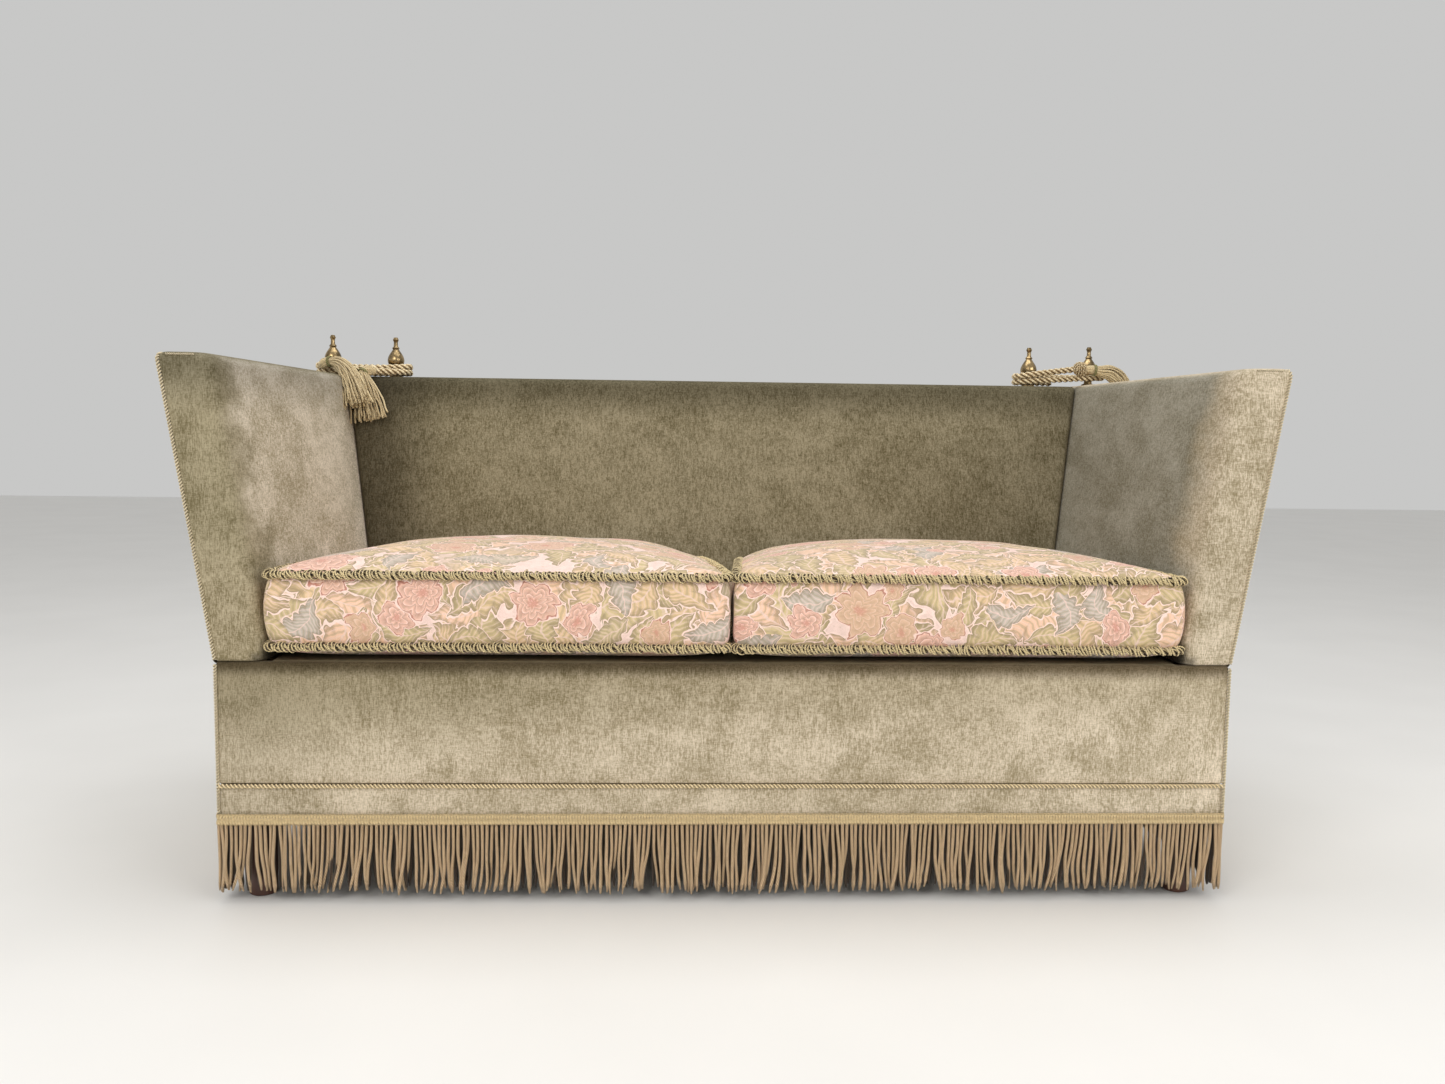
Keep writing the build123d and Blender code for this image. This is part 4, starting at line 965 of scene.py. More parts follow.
def make_tassel(name, line, side, radii, wide, strands, seed, body):
    """A tassel: a wound head, a tied neck and a fan of twisted strands that follows its line."""
    rng = random.Random(seed)
    path = curved([Vector((side * x, y, z)) for x, y, z in map(routed, line)])
    widths, spans = ([r.x for r in curved([Vector((r, 0, 0)) for r in values])] for values in (radii, wide))
    across = Vector((0, 1, 0))
    axes = frames_along(path, level=across)

    def beside(i, angle, reach):
        """A place at an angle round one point of the path."""
        _, sideways, up = axes[i]
        return path[i] + (sideways * cos(angle) + up * sin(angle)) * reach

    head = [tube_rings(path[: NECK + 5], [w * 0.8 for w in widths[: NECK + 5]], 12, across)]
    for number in range(HEAD_STRANDS):
        angle = 2 * pi * number / HEAD_STRANDS
        spots = [beside(i, angle, widths[i] * 0.86) for i in range(0, NECK + 1, 2)]
        head.append(tube_rings(spots, [TASSEL_YARN] * len(spots), 5))
    ahead = axes[NECK][0]
    bound = [
        beside(NECK, t * pi / 12, widths[NECK] + 0.0012) + ahead * (t * 0.00006 - 0.0022)
        for t in range(72)
    ]
    skirt = []
    last = len(path) - 1
    for number in range(strands):
        angle = number * GOLDEN_TURN
        reach = sqrt((number + 0.5) / strands)
        wander = rng.uniform(-0.25, 0.25)
        end = last - rng.choice((0, 0, 1, 1, 2, 3))
        lag = rng.uniform(0.9, 1.06)
        spots = []
        for i in range(NECK - 1, end + 1, 2):
            share = max(0.0, (i - NECK) / (last - NECK))
            _, sideways, up = axes[i]
            turn = angle + wander * share
            spread = max(0.0, widths[i] - TASSEL_YARN) * reach
            place = path[i] + (sideways * sin(turn) + up * cos(turn)) * spread
            place += up * (spans[i] * reach * cos(turn) * lag)
            sway = noise.noise_vector(path[i] * 45 + Vector((number * 0.9, 0, 0))) * (TASSEL_SWAY * share)
            spots.append(place + sway)
        fine = curved(spots, 2)
        skirt.append(tube_rings(fine, [TASSEL_YARN] * len(fine), 6))
    return [
        strand_piece(f"{name}_head", head, "tassel", body),
        strand_piece(f"{name}_tie", twisted_strips(bound, 0.0015, 2, 0.006, 5, detail=6), "tie", body),
        strand_piece(f"{name}_skirt", skirt, "tassel", body),
    ]


def template(name, rings, weld=0.0):
    """A small shape that a row repeats."""
    return linked(name, ring_mesh(name, [rings], weld=weld))


def upright_shape(name, levels, sides=6):
    """A small round shape along Y, from its heights and radii."""
    side, up = Vector((0, 0, 1)), Vector((1, 0, 0))
    return template(name, [circle(Vector((0, height, 0)), side, up, wide, sides) for height, wide in levels])


def strand_shape(levels=13):
    """One bullion strand of unit length that hangs from its top, along Y."""
    last = levels - 1
    return upright_shape("strand", [(k / last, 0.5 if 0 < k < last else 0.26) for k in range(levels)])


def grain_shape():
    """One plump stitch of unit length, upright along Y."""
    return upright_shape("grain", ((-0.5, 0.05), (-0.36, 0.42), (0.0, 0.5), (0.36, 0.42), (0.5, 0.05)))


def loop_shape(parts=12, sides=5):
    """One yarn loop of unit radius, seen along the row."""
    rings = []
    for k in range(parts + 1):
        outward = Vector((cos(2 * pi * k / parts), sin(2 * pi * k / parts), 0))
        rings.append(circle(outward, outward, Vector((0, 0, -1)), LOOP_YARN, sides))
    return template("loop", rings, 0.0001)


def path_object(name, points, closed=False):
    """A curve that a row follows."""
    curve = bpy.data.curves.new(name, "CURVE")
    curve.dimensions = "3D"
    spline = curve.splines.new("POLY")
    spline.points.add(len(points) - 1)
    for point, place in zip(spline.points, points):
        point.co = (*place, 1)
    spline.use_cyclic_u = closed
    return linked(name, curve)


def row_tree():
    """A node tree that lays uneven copies of a shape along a curve and lets free ends sway."""
    tree = bpy.data.node_groups.new("lay_row", "GeometryNodeTree")
    face = tree.interface
    face.new_socket("Geometry", in_out="OUTPUT", socket_type="NodeSocketGeometry")
    wanted = (
        ("Path", "NodeSocketObject"), ("Shape", "NodeSocketObject"), ("Count", "NodeSocketInt"),
        ("Size", "NodeSocketVector"), ("Shorter", "NodeSocketFloat"), ("Turn", "NodeSocketVector"),
        ("Turn Spread", "NodeSocketVector"), ("Shift Spread", "NodeSocketVector"), ("Sway", "NodeSocketVector"),
        ("Stray", "NodeSocketFloat"), ("Top", "NodeSocketFloat"), ("Drop", "NodeSocketFloat"),
        ("Seed", "NodeSocketInt"), ("Material", "NodeSocketMaterial"),
    )
    names = {name: face.new_socket(name, in_out="INPUT", socket_type=kind).identifier for name, kind in wanted}
    given = tree.nodes.new("NodeGroupInput").outputs

    def node(kind, settings, inputs, output=0):
        """Adds a node with its settings and what feeds its sockets."""
        made = tree.nodes.new(kind)
        for name, value in settings.items():
            setattr(made, name, value)
        for key, value in inputs.items():
            if isinstance(value, bpy.types.NodeSocket):
                tree.links.new(value, made.inputs[key])
            else:
                made.inputs[key].default_value = value
        return made.outputs[output]

    def vector(operation, first, second):
        return node("ShaderNodeVectorMath", {"operation": operation}, {0: first, 1: second})

    def number(operation, first, second):
        return node("ShaderNodeMath", {"operation": operation}, {0: first, 1: second})

    def scaled(first, share):
        return node("ShaderNodeVectorMath", {"operation": "SCALE"}, {0: first, "Scale": share})

    def chance(kind, low, high, shift):
        """A random value for each copy, with a seed of its own."""
        made = tree.nodes.new("FunctionNodeRandomValue")
        made.data_type = kind
        for socket, value in zip([i for i in made.inputs if i.name in ("Min", "Max") and i.enabled], (low, high)):
            socket.default_value = value
        tree.links.new(number("ADD", given["Seed"], shift), made.inputs["Seed"])
        return [o for o in made.outputs if o.enabled][0]

    def stored(geometry, name, kind, domain, value):
        """Keeps a value on the copies for later nodes and for the shader."""
        made = tree.nodes.new("GeometryNodeStoreNamedAttribute")
        made.data_type = kind
        made.domain = domain
        made.inputs["Name"].default_value = name
        tree.links.new(geometry, made.inputs["Geometry"])
        tree.links.new(value, [i for i in made.inputs if i.name == "Value" and i.enabled][0])
        return made.outputs[0]

    wide = ((-1, -1, -1), (1, 1, 1))
    line = node("GeometryNodeObjectInfo", {"transform_space": "ORIGINAL"}, {"Object": given["Path"]}, "Geometry")
    level = node("GeometryNodeSetCurveNormal", {"mode": "Z_UP"}, {"Curve": line})
    points = node("GeometryNodeCurveToPoints", {"mode": "COUNT"}, {"Curve": level, "Count": given["Count"]})
    facing = points.node.outputs["Rotation"]
    shift = vector("MULTIPLY", chance("FLOAT_VECTOR", *wide, 1), given["Shift Spread"])
    moved = node("FunctionNodeRotateVector", {}, {"Vector": shift, "Rotation": facing})
    placed = node("GeometryNodeSetPosition", {}, {"Geometry": points, "Offset": moved})
    turn = vector("ADD", vector("MULTIPLY", chance("FLOAT_VECTOR", *wide, 2), given["Turn Spread"]), given["Turn"])
    turned = node("FunctionNodeEulerToRotation", {}, {"Euler": turn})
    aimed = node("FunctionNodeRotateRotation", {"rotation_space": "LOCAL"}, {"Rotation": facing, "Rotate By": turned})
    less = node("ShaderNodeCombineXYZ", {}, {1: number("MULTIPLY", chance("FLOAT", 0.0, 1.0, 3), given["Shorter"])})
    size = vector("SUBTRACT", given["Size"], less)
    shape = node("GeometryNodeObjectInfo", {}, {"Object": given["Shape"]}, "Geometry")
    copies = {"Points": placed, "Instance": shape, "Rotation": aimed, "Scale": size}
    row = node("GeometryNodeInstanceOnPoints", {}, copies)
    row = stored(row, "tone", "FLOAT", "INSTANCE", chance("FLOAT", 0.0, 1.0, 4))
    row = stored(row, "stray", "FLOAT_VECTOR", "INSTANCE", chance("FLOAT_VECTOR", *wide, 5))
    real = node("GeometryNodeRealizeInstances", {}, {0: row})
    place = node("GeometryNodeInputPosition", {}, {})
    height = node("ShaderNodeSeparateXYZ", {}, {0: place}, 2)
    fallen = number("MAXIMUM", number("DIVIDE", number("SUBTRACT", given["Top"], height), given["Drop"]), 0.0)
    share = number("POWER", fallen, 1.5)
    stray = node("GeometryNodeInputNamedAttribute", {"data_type": "FLOAT_VECTOR"}, {"Name": "stray"})
    spot = vector("ADD", vector("MULTIPLY", place, (13, 13, 9)), scaled(stray, 0.35))
    drift = node("ShaderNodeTexNoise", {}, {"Vector": spot, "Scale": 1.0, "Detail": 1.0}, "Color")
    centred = vector("SUBTRACT", drift, (0.5, 0.5, 0.5))
    sway = vector("MULTIPLY", vector("MULTIPLY", centred, given["Sway"]), (4, 4, 0))
    straying = vector("MULTIPLY", scaled(stray, given["Stray"]), (1, 1, 0))
    offset = scaled(vector("ADD", sway, straying), share)
    bent = node("GeometryNodeSetPosition", {}, {"Geometry": real, "Offset": offset})
    smooth = node("GeometryNodeSetShadeSmooth", {}, {"Geometry": bent, "Shade Smooth": True})
    dressed = node("GeometryNodeSetMaterial", {}, {"Geometry": smooth, "Material": given["Material"]})
    tree.links.new(dressed, tree.nodes.new("NodeGroupOutput").inputs[0])
    return tree, names


def lay_row(
    name, path, shape, count, size, finish, shorter=0.0, turn=(0, 0, 0), turn_spread=(0, 0, 0),
    shift_spread=(0, 0, 0), sway=(0, 0, 0), stray=0.0, top=0.0, drop=1.0, seed=1,
):
    """The mesh of one row, laid by the shared node tree."""
    if "row" not in TREES:
        TREES["row"] = row_tree()
    tree, names = TREES["row"]
    carrier = linked(name, bpy.data.meshes.new(name))
    modifier = carrier.modifiers.new("row", "NODES")
    modifier.node_group = tree
    values = {
        "Path": path, "Shape": shape, "Count": count, "Size": size, "Shorter": shorter, "Turn": turn,
        "Turn Spread": turn_spread, "Shift Spread": shift_spread, "Sway": sway, "Stray": stray,
        "Top": top, "Drop": drop, "Seed": seed, "Material": finish_of(finish),
    }
    for key, value in values.items():
        modifier[names[key]] = value
    bpy.context.view_layer.update()
    mesh = evaluated(carrier)
    for spare in (carrier, path):
        bpy.data.objects.remove(spare)
    return mesh


def joined(name, meshes):
    """Several meshes as one, their maps and tones kept."""
    work = bmesh.new()
    for mesh in meshes:
        work.from_mesh(mesh)
    whole = bpy.data.meshes.new(name)
    work.to_mesh(whole)
    work.free()
    whole.polygons.foreach_set("use_smooth", [True] * len(whole.polygons))
    return whole


def velvets():
    """Dark and light tones, seed, zones and patchiness of each velvet surface; the surfaces are lighter and darker
    copies of one velvet, and the zones wash them with painted light and shade.
    """
    c = colours()
    light, dark = c.velvet_light, c.velvet_dark
    olive = [(r * 0.98, g * 0.985, b * 0.84) for r, g, b in (dark, light)]
    inner = HALF - SEAM * ARM_RUN - ARM_WIDTH
    # Washes of painted light and shade on the base velvet: a painted shadow along the rolled top of the border under
    # the cushions, painted shade over its upper part, painted light towards its right end, and painted shade towards
    # its left end and over its upper left middle.
    roll_shadow = (2, SEAM - 0.026, SEAM - 0.004, (0.29, 0.26, 0.215))
    shaded = (2, SEAM - 0.12, SEAM - 0.02, (0.78, 0.77, 0.72))
    bright_end = (0, 0.25, 0.72, (1.14, 1.15, 1.18))
    dim_end = (0, -0.5, -0.7, (0.84, 0.84, 0.82))
    dim_middle = (0, 0.1, -0.5, (0.76, 0.76, 0.71), (2, SEAM - 0.15, SEAM - 0.05))
    # Washes of painted light and shade on the arms: painted shade low on each inner face just above the seam, and on
    # the toe of its rounded front corner; the inner face painted lighter on the left arm and darker on the right; the
    # left arm painted darker towards its top and lighter towards its lower part.
    turned = (3, inner + 0.010, inner + 0.001)
    fold = (*turned, (0.2, 0.2, 0.2), (2, SEAM + 0.04, SEAM + 0.01))
    toe_shade = (3, inner + 0.026, inner + 0.014, (0.4, 0.4, 0.4), (2, SEAM + 0.018, SEAM + 0.006))
    left_inside = (*turned, (2.06, 2.12, 2.66), (1, FRONT + 0.02, FRONT + 0.13))
    left_top = (2, ARM_TOP - 0.1, ARM_TOP - 0.005, (0.6, 0.61, 0.62))
    left_foot = (2, SEAM + 0.2, SEAM + 0.06, (1.3, 1.28, 1.34))
    right_inside = (*turned, (0.47, 0.52, 0.55), (1, FRONT, FRONT + 0.12))
    # Washes on the back: painted shade towards its top and a painted shadow at its left end beside the arm; near its
    # foot it is left almost as it is.
    back_top = (2, BACK_TOP - 0.09, BACK_TOP - 0.01, (0.48, 0.48, 0.46))
    back_end_shade = (0, -0.5, -0.66, (0.44, 0.43, 0.42))
    back_foot = (2, SEAM + 0.2, SEAM + 0.1, (1.0, 1.0, 1.02))
    # Each surface below is a lighter or darker copy of the same velvet, painted light and shade: the back and the left
    # arm much darker, the right arm close to the base velvet.
    return {
        "velvet": ("olive_velvet", dark, light, 0.0, (roll_shadow, shaded, bright_end, dim_end, dim_middle)),
        "left_velvet": (
            "left_arm_velvet", tint(olive[0], 0.54), tint(olive[1], 0.57), 1.7,
            (left_inside, fold, toe_shade, left_top, left_foot), 0.2, 0.1, 0.6,
        ),
        "right_velvet": (
            "right_arm_velvet", tint(dark, 0.96), tint(light, 1.03), 4.2,
            (right_inside, fold, toe_shade), 0.18, 0.1, 0.6,
        ),
        "back_velvet": (
            "back_velvet", tint(olive[0], 0.42), tint(olive[1], 0.48), 3.0,
            (back_top, back_end_shade, back_foot), 0.14, 0.34,
        ),
    }


def settled(p, middle, half_x, half_y):
    """Where a point of a cushion lies once its front corners have spread and its rear ones have sunk."""
    east, north = (p.x - middle[0]) / half_x, (p.y - middle[1]) / half_y
    back = max(0.0, min(1.0, (north + 1) / 2))
    corner = (abs(east) ** 3) * back ** 2
    lift = max(0.0, p.z - TRIM_LOW - 0.01)
    z = p.z - lift * (REAR_SAG * back ** 1.5 + CORNER_SAG * corner)
    drawn = min(1.0, lift / (TRIM_HIGH - TRIM_LOW))
    ear = max(0.0, 1 - 2.2 * back) ** 2 * EAR
    x = p.x - half_x * east * CORNER_DRAW * corner * drawn + ear * east * abs(east) ** 7
    y = p.y - REAR_DRAW * max(0.0, north) ** 3 * drawn * (0.4 + abs(east) ** 3)
    return Vector((x, y, z))


def room_beside(p):
    """How far from the middle a cushion may reach beside an arm, whose front edge is rounded."""
    turn = max(0.0, min(1.0, (FRONT + ARM_CORNER - p.y) / ARM_CORNER))
    share = 1.0 if p.y > FRONT else 0.85
    return arm_inner(p.z) - CUSHION_ROOM + ARM_CORNER * (1 - sqrt(1 - turn * turn)) * share


def wind_rope(hand, side, route):
    """One cord wound round its finials, with the points of its line."""
    s = sizes()
    path = smooth_route(f"{hand}_cord_line", route, side)
    strips = twisted_strips(path, s.rope_diameter / 2 * ROPE_FULLNESS, 3, s.rope_turn)
    rope = strand_piece(f"{hand}_rope", strips, "rope", "base")
    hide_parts(f"{hand}_cord")
    return rope, path


def tie_knot():
    """The ball of wound cord on the right arm."""
    centre = Vector((ARM_FINIAL - 0.028, NEAR - 0.007, ARM_TOP + 0.032))
    lean = Matrix.Rotation(0.5, 3, "X") @ Matrix.Rotation(0.7, 3, "Y")
    wound = []
    for group in range(3):
        axle, first, second = [lean @ Vector([float(n == (group + k) % 3) for n in range(3)]) for k in range(3)]
        for offset in (-0.0068, -0.0023, 0.0023, 0.0068):
            reach = sqrt((KNOT_RADIUS + group * 0.0008) ** 2 - offset ** 2)
            line = circle(centre + axle * offset, first, second, reach, 30)
            wound += twisted_strips(line, KNOT_YARN, 2, KNOT_TWIST, 5, closed=True, detail=6)
    return strand_piece("right_knot", wound, "rope", "right_arm")


def make_cords():
    """The two wound cords, their tassels and the knot."""
    left, left_path = wind_rope("left", -1, LEFT_ROUTE)
    upper = make_tassel(
        "left_upper_tassel", UPPER_TASSEL, -1, (0.006, 0.0105, 0.0085, 0.011, 0.012, 0.0125, 0.013, 0.014),
        (0, 0, 0, 0.002, 0.004, 0.008, 0.013, 0.018), 46, 3, "left_arm",
    )
    lower = make_tassel(
        "left_lower_tassel", LOWER_TASSEL, -1, (0.005, 0.0095, 0.008, 0.01, 0.011, 0.012, 0.012),
        (0, 0, 0, 0.005, 0.013, 0.021, 0.029), 44, 5, "left_arm",
    )
    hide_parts("left_tassels")
    _, left_length = resampled(left_path, 0.01)
    upper + lower
    right, right_path = wind_rope("right", 1, RIGHT_ROUTE)
    knot = tie_knot()
    tassel = make_tassel(
        "right_tassel_drop", RIGHT_TASSEL, 1, (0.005, 0.008, 0.009, 0.0115, 0.014, 0.014, 0.014, 0.014),
        (0, 0, 0, 0.001, 0.003, 0.005, 0.008, 0.012), 44, 11, "right_arm",
    )
    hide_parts("right_tassel")
    _, right_length = resampled(right_path, 0.01)


def make_arms():
    """Padded arms in velvet, square on the outside and softly rounded on the inside."""
    for side, hand in SIDES:
        def plan(z, side=side):
            """Corners of an arm at a height."""
            low_x, high_x = sorted((side * arm_inner(z), side * arm_outer(z)))
            return (low_x, FRONT), (high_x, back_face(z) + BACK_THICKNESS)

        inner, outer = ARM_CORNER, 0.003
        if side < 0:
            corners = (outer, inner, 0.006, 0.006)
            top, bow = (0.009, 0.016, 0.008, ARM_ROUND), (0.002, 0.003, 0.0, 0.001)
        else:
            corners = (inner, outer, 0.006, 0.006)
            top, bow = (0.009, ARM_ROUND, 0.008, 0.016), (0.002, 0.001, 0.0, 0.003)
        bottom = (0.006, 0.004, 0.004, 0.004)
        mesh = block_mesh(f"{hand}_arm_velvet", plan, SEAM + SEAM_GAP, ARM_TOP, corners, top, bottom, (7, 50), bow)
        piece = new_piece(f"{hand}_arm_velvet", mesh, f"{hand}_velvet", f"{hand}_arm")
        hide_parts(f"{hand}_arm_pad", f"{hand}_arm_outside")


def make_back():
    """The padded back, leaning between the arms."""
    def plan(z):
        """Corners of the back at a height."""
        half = arm_inner(z) - BACK_ROOM
        return (-half, back_face(z)), (half, back_face(z) + BACK_THICKNESS)

    corners = (0.012, 0.012, 0.006, 0.006)
    top, bottom = (0.014, 0.005, 0.008, 0.005), (0.004, 0.004, 0.004, 0.004)
    bow = (0.003, 0, 0.001, 0)
    mesh = block_mesh("back_velvet", plan, SEAM + SEAM_GAP, BACK_TOP, corners, top, bottom, (90, 7), bow, 0.001)
    piece = new_piece("back_velvet", mesh, "back_velvet", "base")
    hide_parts("back_pad", "outside_back")


def make_base():
    """Covers of the seat base: front border, lower band, sides, rear and platform."""
    def block(name, nodes, low, high, corners, top, bottom, step, bow, z_low=None, z_high=None, finish="velvet"):
        """A straight cover over one of the base's solids."""
        lows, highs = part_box(nodes[0])
        z0 = lows[2] if z_low is None else z_low
        z1 = highs[2] if z_high is None else z_high
        mesh = block_mesh(name, lambda z: (low, high), z0, z1, corners, top, bottom, step, bow, 0.0005)
        piece = new_piece(name, mesh, finish, "base")
        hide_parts(*nodes)
        return piece

    small = (0.002, 0.002, 0.002, 0.002)
    side_face = HALF - 0.01
    border = block(
        "front_border_velvet", ["front_border"], (-HALF, FRONT), (HALF, FRONT + 0.01),
        (0.006, 0.006, 0.002, 0.002), (0.008, 0.004, 0.001, 0.004), (0.003, 0.002, 0.001, 0.002),
        (110, 2), (0.003, 0, 0, 0), z_low=CORD_HEIGHT + 0.0028,
    )
    block(
        "front_band_velvet", ["front_band"], (-HALF + 0.0002, FRONT + 0.0016), (HALF - 0.0002, FRONT + 0.01),
        (0.001, 0.001, 0.001, 0.001), small, small, (110, 2), (0.0005, 0, 0, 0), z_high=CORD_HEIGHT,
    )
    for side, hand in SIDES:
        x0, x1 = sorted((side * side_face, side * HALF))
        bow = (0, 0.002 if side > 0 else 0, 0, 0.002 if side < 0 else 0)
        block(
            f"{hand}_base_velvet", [f"{hand}_base_cover"], (x0, FRONT + 0.01), (x1, BASE_BACK - 0.01),
            small, small, small, (2, 52), bow,
        )
    block(
        "rear_border_velvet", ["rear_border"], (-HALF, BASE_BACK - 0.01), (HALF, BASE_BACK),
        (0.002, 0.002, 0.003, 0.003), small, small, (110, 2), (0, 0, 0.002, 0),
    )
    low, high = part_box("seat_deck")
    deck = block(
        "platform_cover", ["seat_deck"], (-side_face + 0.0645, low[1]), (side_face - 0.0645, high[1]),
        small, small, small, (70, 40), (0, 0, 0, 0), finish="lining",
    )


def cushion_outline(middle, half_x, half_y, z, corner=SEAM_CORNER):
    """A cushion's outline at a height, its sides drawn in between the corners."""
    ring = rounded_ring((-half_x, -half_y), (half_x, half_y), z, (corner,) * 4, (60, 56), (-SIDE_PULL,) * 4)
    return [Vector((p.x + middle[0], p.y + middle[1], p.z)) for p in ring]


def swept(sweep, share):
    """How far along and how far inwards a quarter curve has come after a share of its sweep."""
    turn = sweep * share
    return sin(turn) / sin(sweep), (1 - cos(turn)) / (1 - cos(sweep))


def cushion_levels():
    """Heights, insets and corner radii of a cushion, from its belly to its crown."""
    box_low, box_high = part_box("left_cushion")
    rise, drop = (box_high[2] - TRIM_HIGH) * CROWN_SHARE, TRIM_LOW - box_low[2]
    levels = []
    for k in range(7, 0, -1):
        down, inward = swept(BELLY_SWEEP, k / 7)
        levels.append((TRIM_LOW - drop * down, 0.004 + 0.06 * inward, SEAM_CORNER + 0.064 * inward))
    for k in range(13):
        up = k / 12
        bulge = 1 - (2 * up - 1) ** 2
        height = TRIM_LOW + (TRIM_HIGH - TRIM_LOW) * up
        levels.append((height, 0.003 - 0.01 * bulge ** 0.7, SEAM_CORNER + 0.006 * bulge))
    for k in range(1, 11):
        up, inward = swept(CROWN_SWEEP, k / 10)
        levels.append((TRIM_HIGH + rise * up, 0.003 + 0.19 * inward, SEAM_CORNER + 0.114 * inward))
    return levels


def cushion_shell(name, middle, half_x, half_y):
    """The closed shell of a cushion before it is stuffed."""
    rings = [
        cushion_outline(middle, half_x - inset, half_y - inset, z, corner)
        for z, inset, corner in cushion_levels()
    ]
    for end in (0, -1):
        ring = rings[end]
        centre = Vector((*middle, ring[0].z + (0.005 if end else 0)))
        caps = [[p.lerp(centre, k / 8) for p in ring] for k in range(1, 9)]
        rings = rings + caps if end else caps[::-1] + rings
    return linked(name, ring_mesh(name, [rings], weld=0.0003, wound=False))


def held(p, middle, half_x, half_y):
    """How firmly a point of a cushion stays in place: at the seams fully, on the seat mostly."""
    near = min(abs(p.z - TRIM_LOW), abs(p.z - TRIM_HIGH))
    edge = max(abs(p.x - middle[0]) / half_x, abs(p.y - middle[1]) / half_y)
    if edge > 0.955 and near < 0.007:
        return 1.0
    return 0.7 if p.z < SEAM + 0.003 else 0.0


def puckered(p, side, middle, half_x, half_y):
    """A point of a cushion with the gathers along its upper seam and the dips of wear."""
    if p.z <= TRIM_HIGH - 0.002:
        return p
    east, north = (p.x - middle[0]) / half_x, (p.y - middle[1]) / half_y
    inward = 1 - max(abs(east), abs(north))
    gather = max(0.0, 1 - inward / 0.2) * min(1.0, max(0.0, inward) / 0.03)
    run = p.x if abs(north) > abs(east) else p.y
    z = p.z + gather * PUCKER * noise.noise(Vector((run * 42, inward * 6, side * 5.0)))
    return Vector((p.x, p.y, z + WEAR * noise.noise(Vector((p.x * 7, p.y * 7, side * 3.0)))))


def stuff(piece, *plan):
    """Inflates a cushion as cloth, keeps its seams in place and its underside on the seat."""
    s = sizes()
    remesh = piece.modifiers.new("voxels", "REMESH")
    remesh.mode = "VOXEL"
    remesh.voxel_size = s.weave_voxel
    mesh = evaluated(piece)
    piece.modifiers.clear()
    piece.data = mesh
    seam = piece.vertex_groups.new(name="seam")
    for vertex in mesh.vertices:
        weight = held(vertex.co, *plan)
        if weight > 0:
            seam.add([vertex.index], weight, "REPLACE")
    start = [v.co.copy() for v in mesh.vertices]
    cloth = piece.modifiers.new("stuffing", "CLOTH")
    cloth.settings.use_pressure = True
    cloth.settings.uniform_pressure_force = s.cushion_pressure
    cloth.settings.vertex_group_mass = "seam"
    cloth.settings.effector_weights.gravity = 0
    cloth.settings.quality = 4
    cloth.collision_settings.use_collision = False
    scene = bpy.context.scene
    for number in range(1, SETTLING_FRAMES + 1):
        scene.frame_set(number)
    moved = evaluated(piece)
    piece.modifiers.clear()
    for vertex, before in zip(moved.vertices, start):
        shift = vertex.co - before
        if shift.length > s.cushion_cap:
            vertex.co = before + shift.normalized() * s.cushion_cap
        vertex.co.z = max(vertex.co.z, SEAM + 0.0005)
    piece.data = moved
    scene.frame_set(1)


def lay_floral(mesh, middle, half_x, half_y, drift):
    """Lays the fabric flat on a cushion: one panel above, one below and a strip round the sides."""
    layer = mesh.uv_layers.new(name="cloth") if not mesh.uv_layers else mesh.uv_layers[0]
    for face in mesh.polygons:
        spot = face.center
        east, north = (spot.x - middle[0]) / half_x, (spot.y - middle[1]) / half_y
        for loop in face.loop_indices:
            p = mesh.vertices[mesh.loops[loop].vertex_index].co
            if TRIM_LOW < spot.z < TRIM_HIGH:
                if abs(east) > abs(north):
                    turn = 1 if east > 0 else -1
                    flat = (turn * (half_x + p.y - middle[1] + half_y), p.z - SEAM)
                else:
                    flat = (p.x - middle[0] + (3 if north > 0 else 0), p.z - SEAM)
                flat = (flat[0] + 5, flat[1])
            else:
                flat = (p.x - middle[0], p.y - middle[1] + (8 if spot.z < TRIM_LOW else 0))
            layer.data[loop].uv = (flat[0] + drift, flat[1] + drift * 0.7)


def trim_meshes(loop, side, *plan):
    """Looped trim for both seams of one cushion, round a twisted core."""
    s = sizes()
    middle, _, half_y = plan
    radius = s.trim_diameter / 2 / (1 + LOOP_YARN)
    meshes = []
    for number, z in enumerate((TRIM_LOW, TRIM_HIGH)):
        line = [settled(p, *plan) for p in cushion_outline(*plan, z)]
        for p in line:
            p.y -= 0.004 * max(0.0, min(1.0, (middle[1] - p.y) / half_y)) ** 4
        around = sum((b - a).length for a, b in zip(line, line[1:] + line[:1]))
        meshes.append(lay_row(
            "loops", path_object("seam_line", line, True), loop, round(around / s.trim_pitch), (radius,) * 3, "trim",
            shorter=radius * 0.3, turn=(0.5, 0.3, 0), turn_spread=(0.24, 0.24, 0.5),
            shift_spread=(0.0006, 0.0008, 0.0005), seed=number * 7 + (3 if side > 0 else 40),
        ))
        strips = twisted_strips(line, radius * 0.6, 2, 0.03, 6, closed=True, level=Vector((0, 0, 1)), detail=6)
        meshes.append(ring_mesh("core", strips))
    return meshes


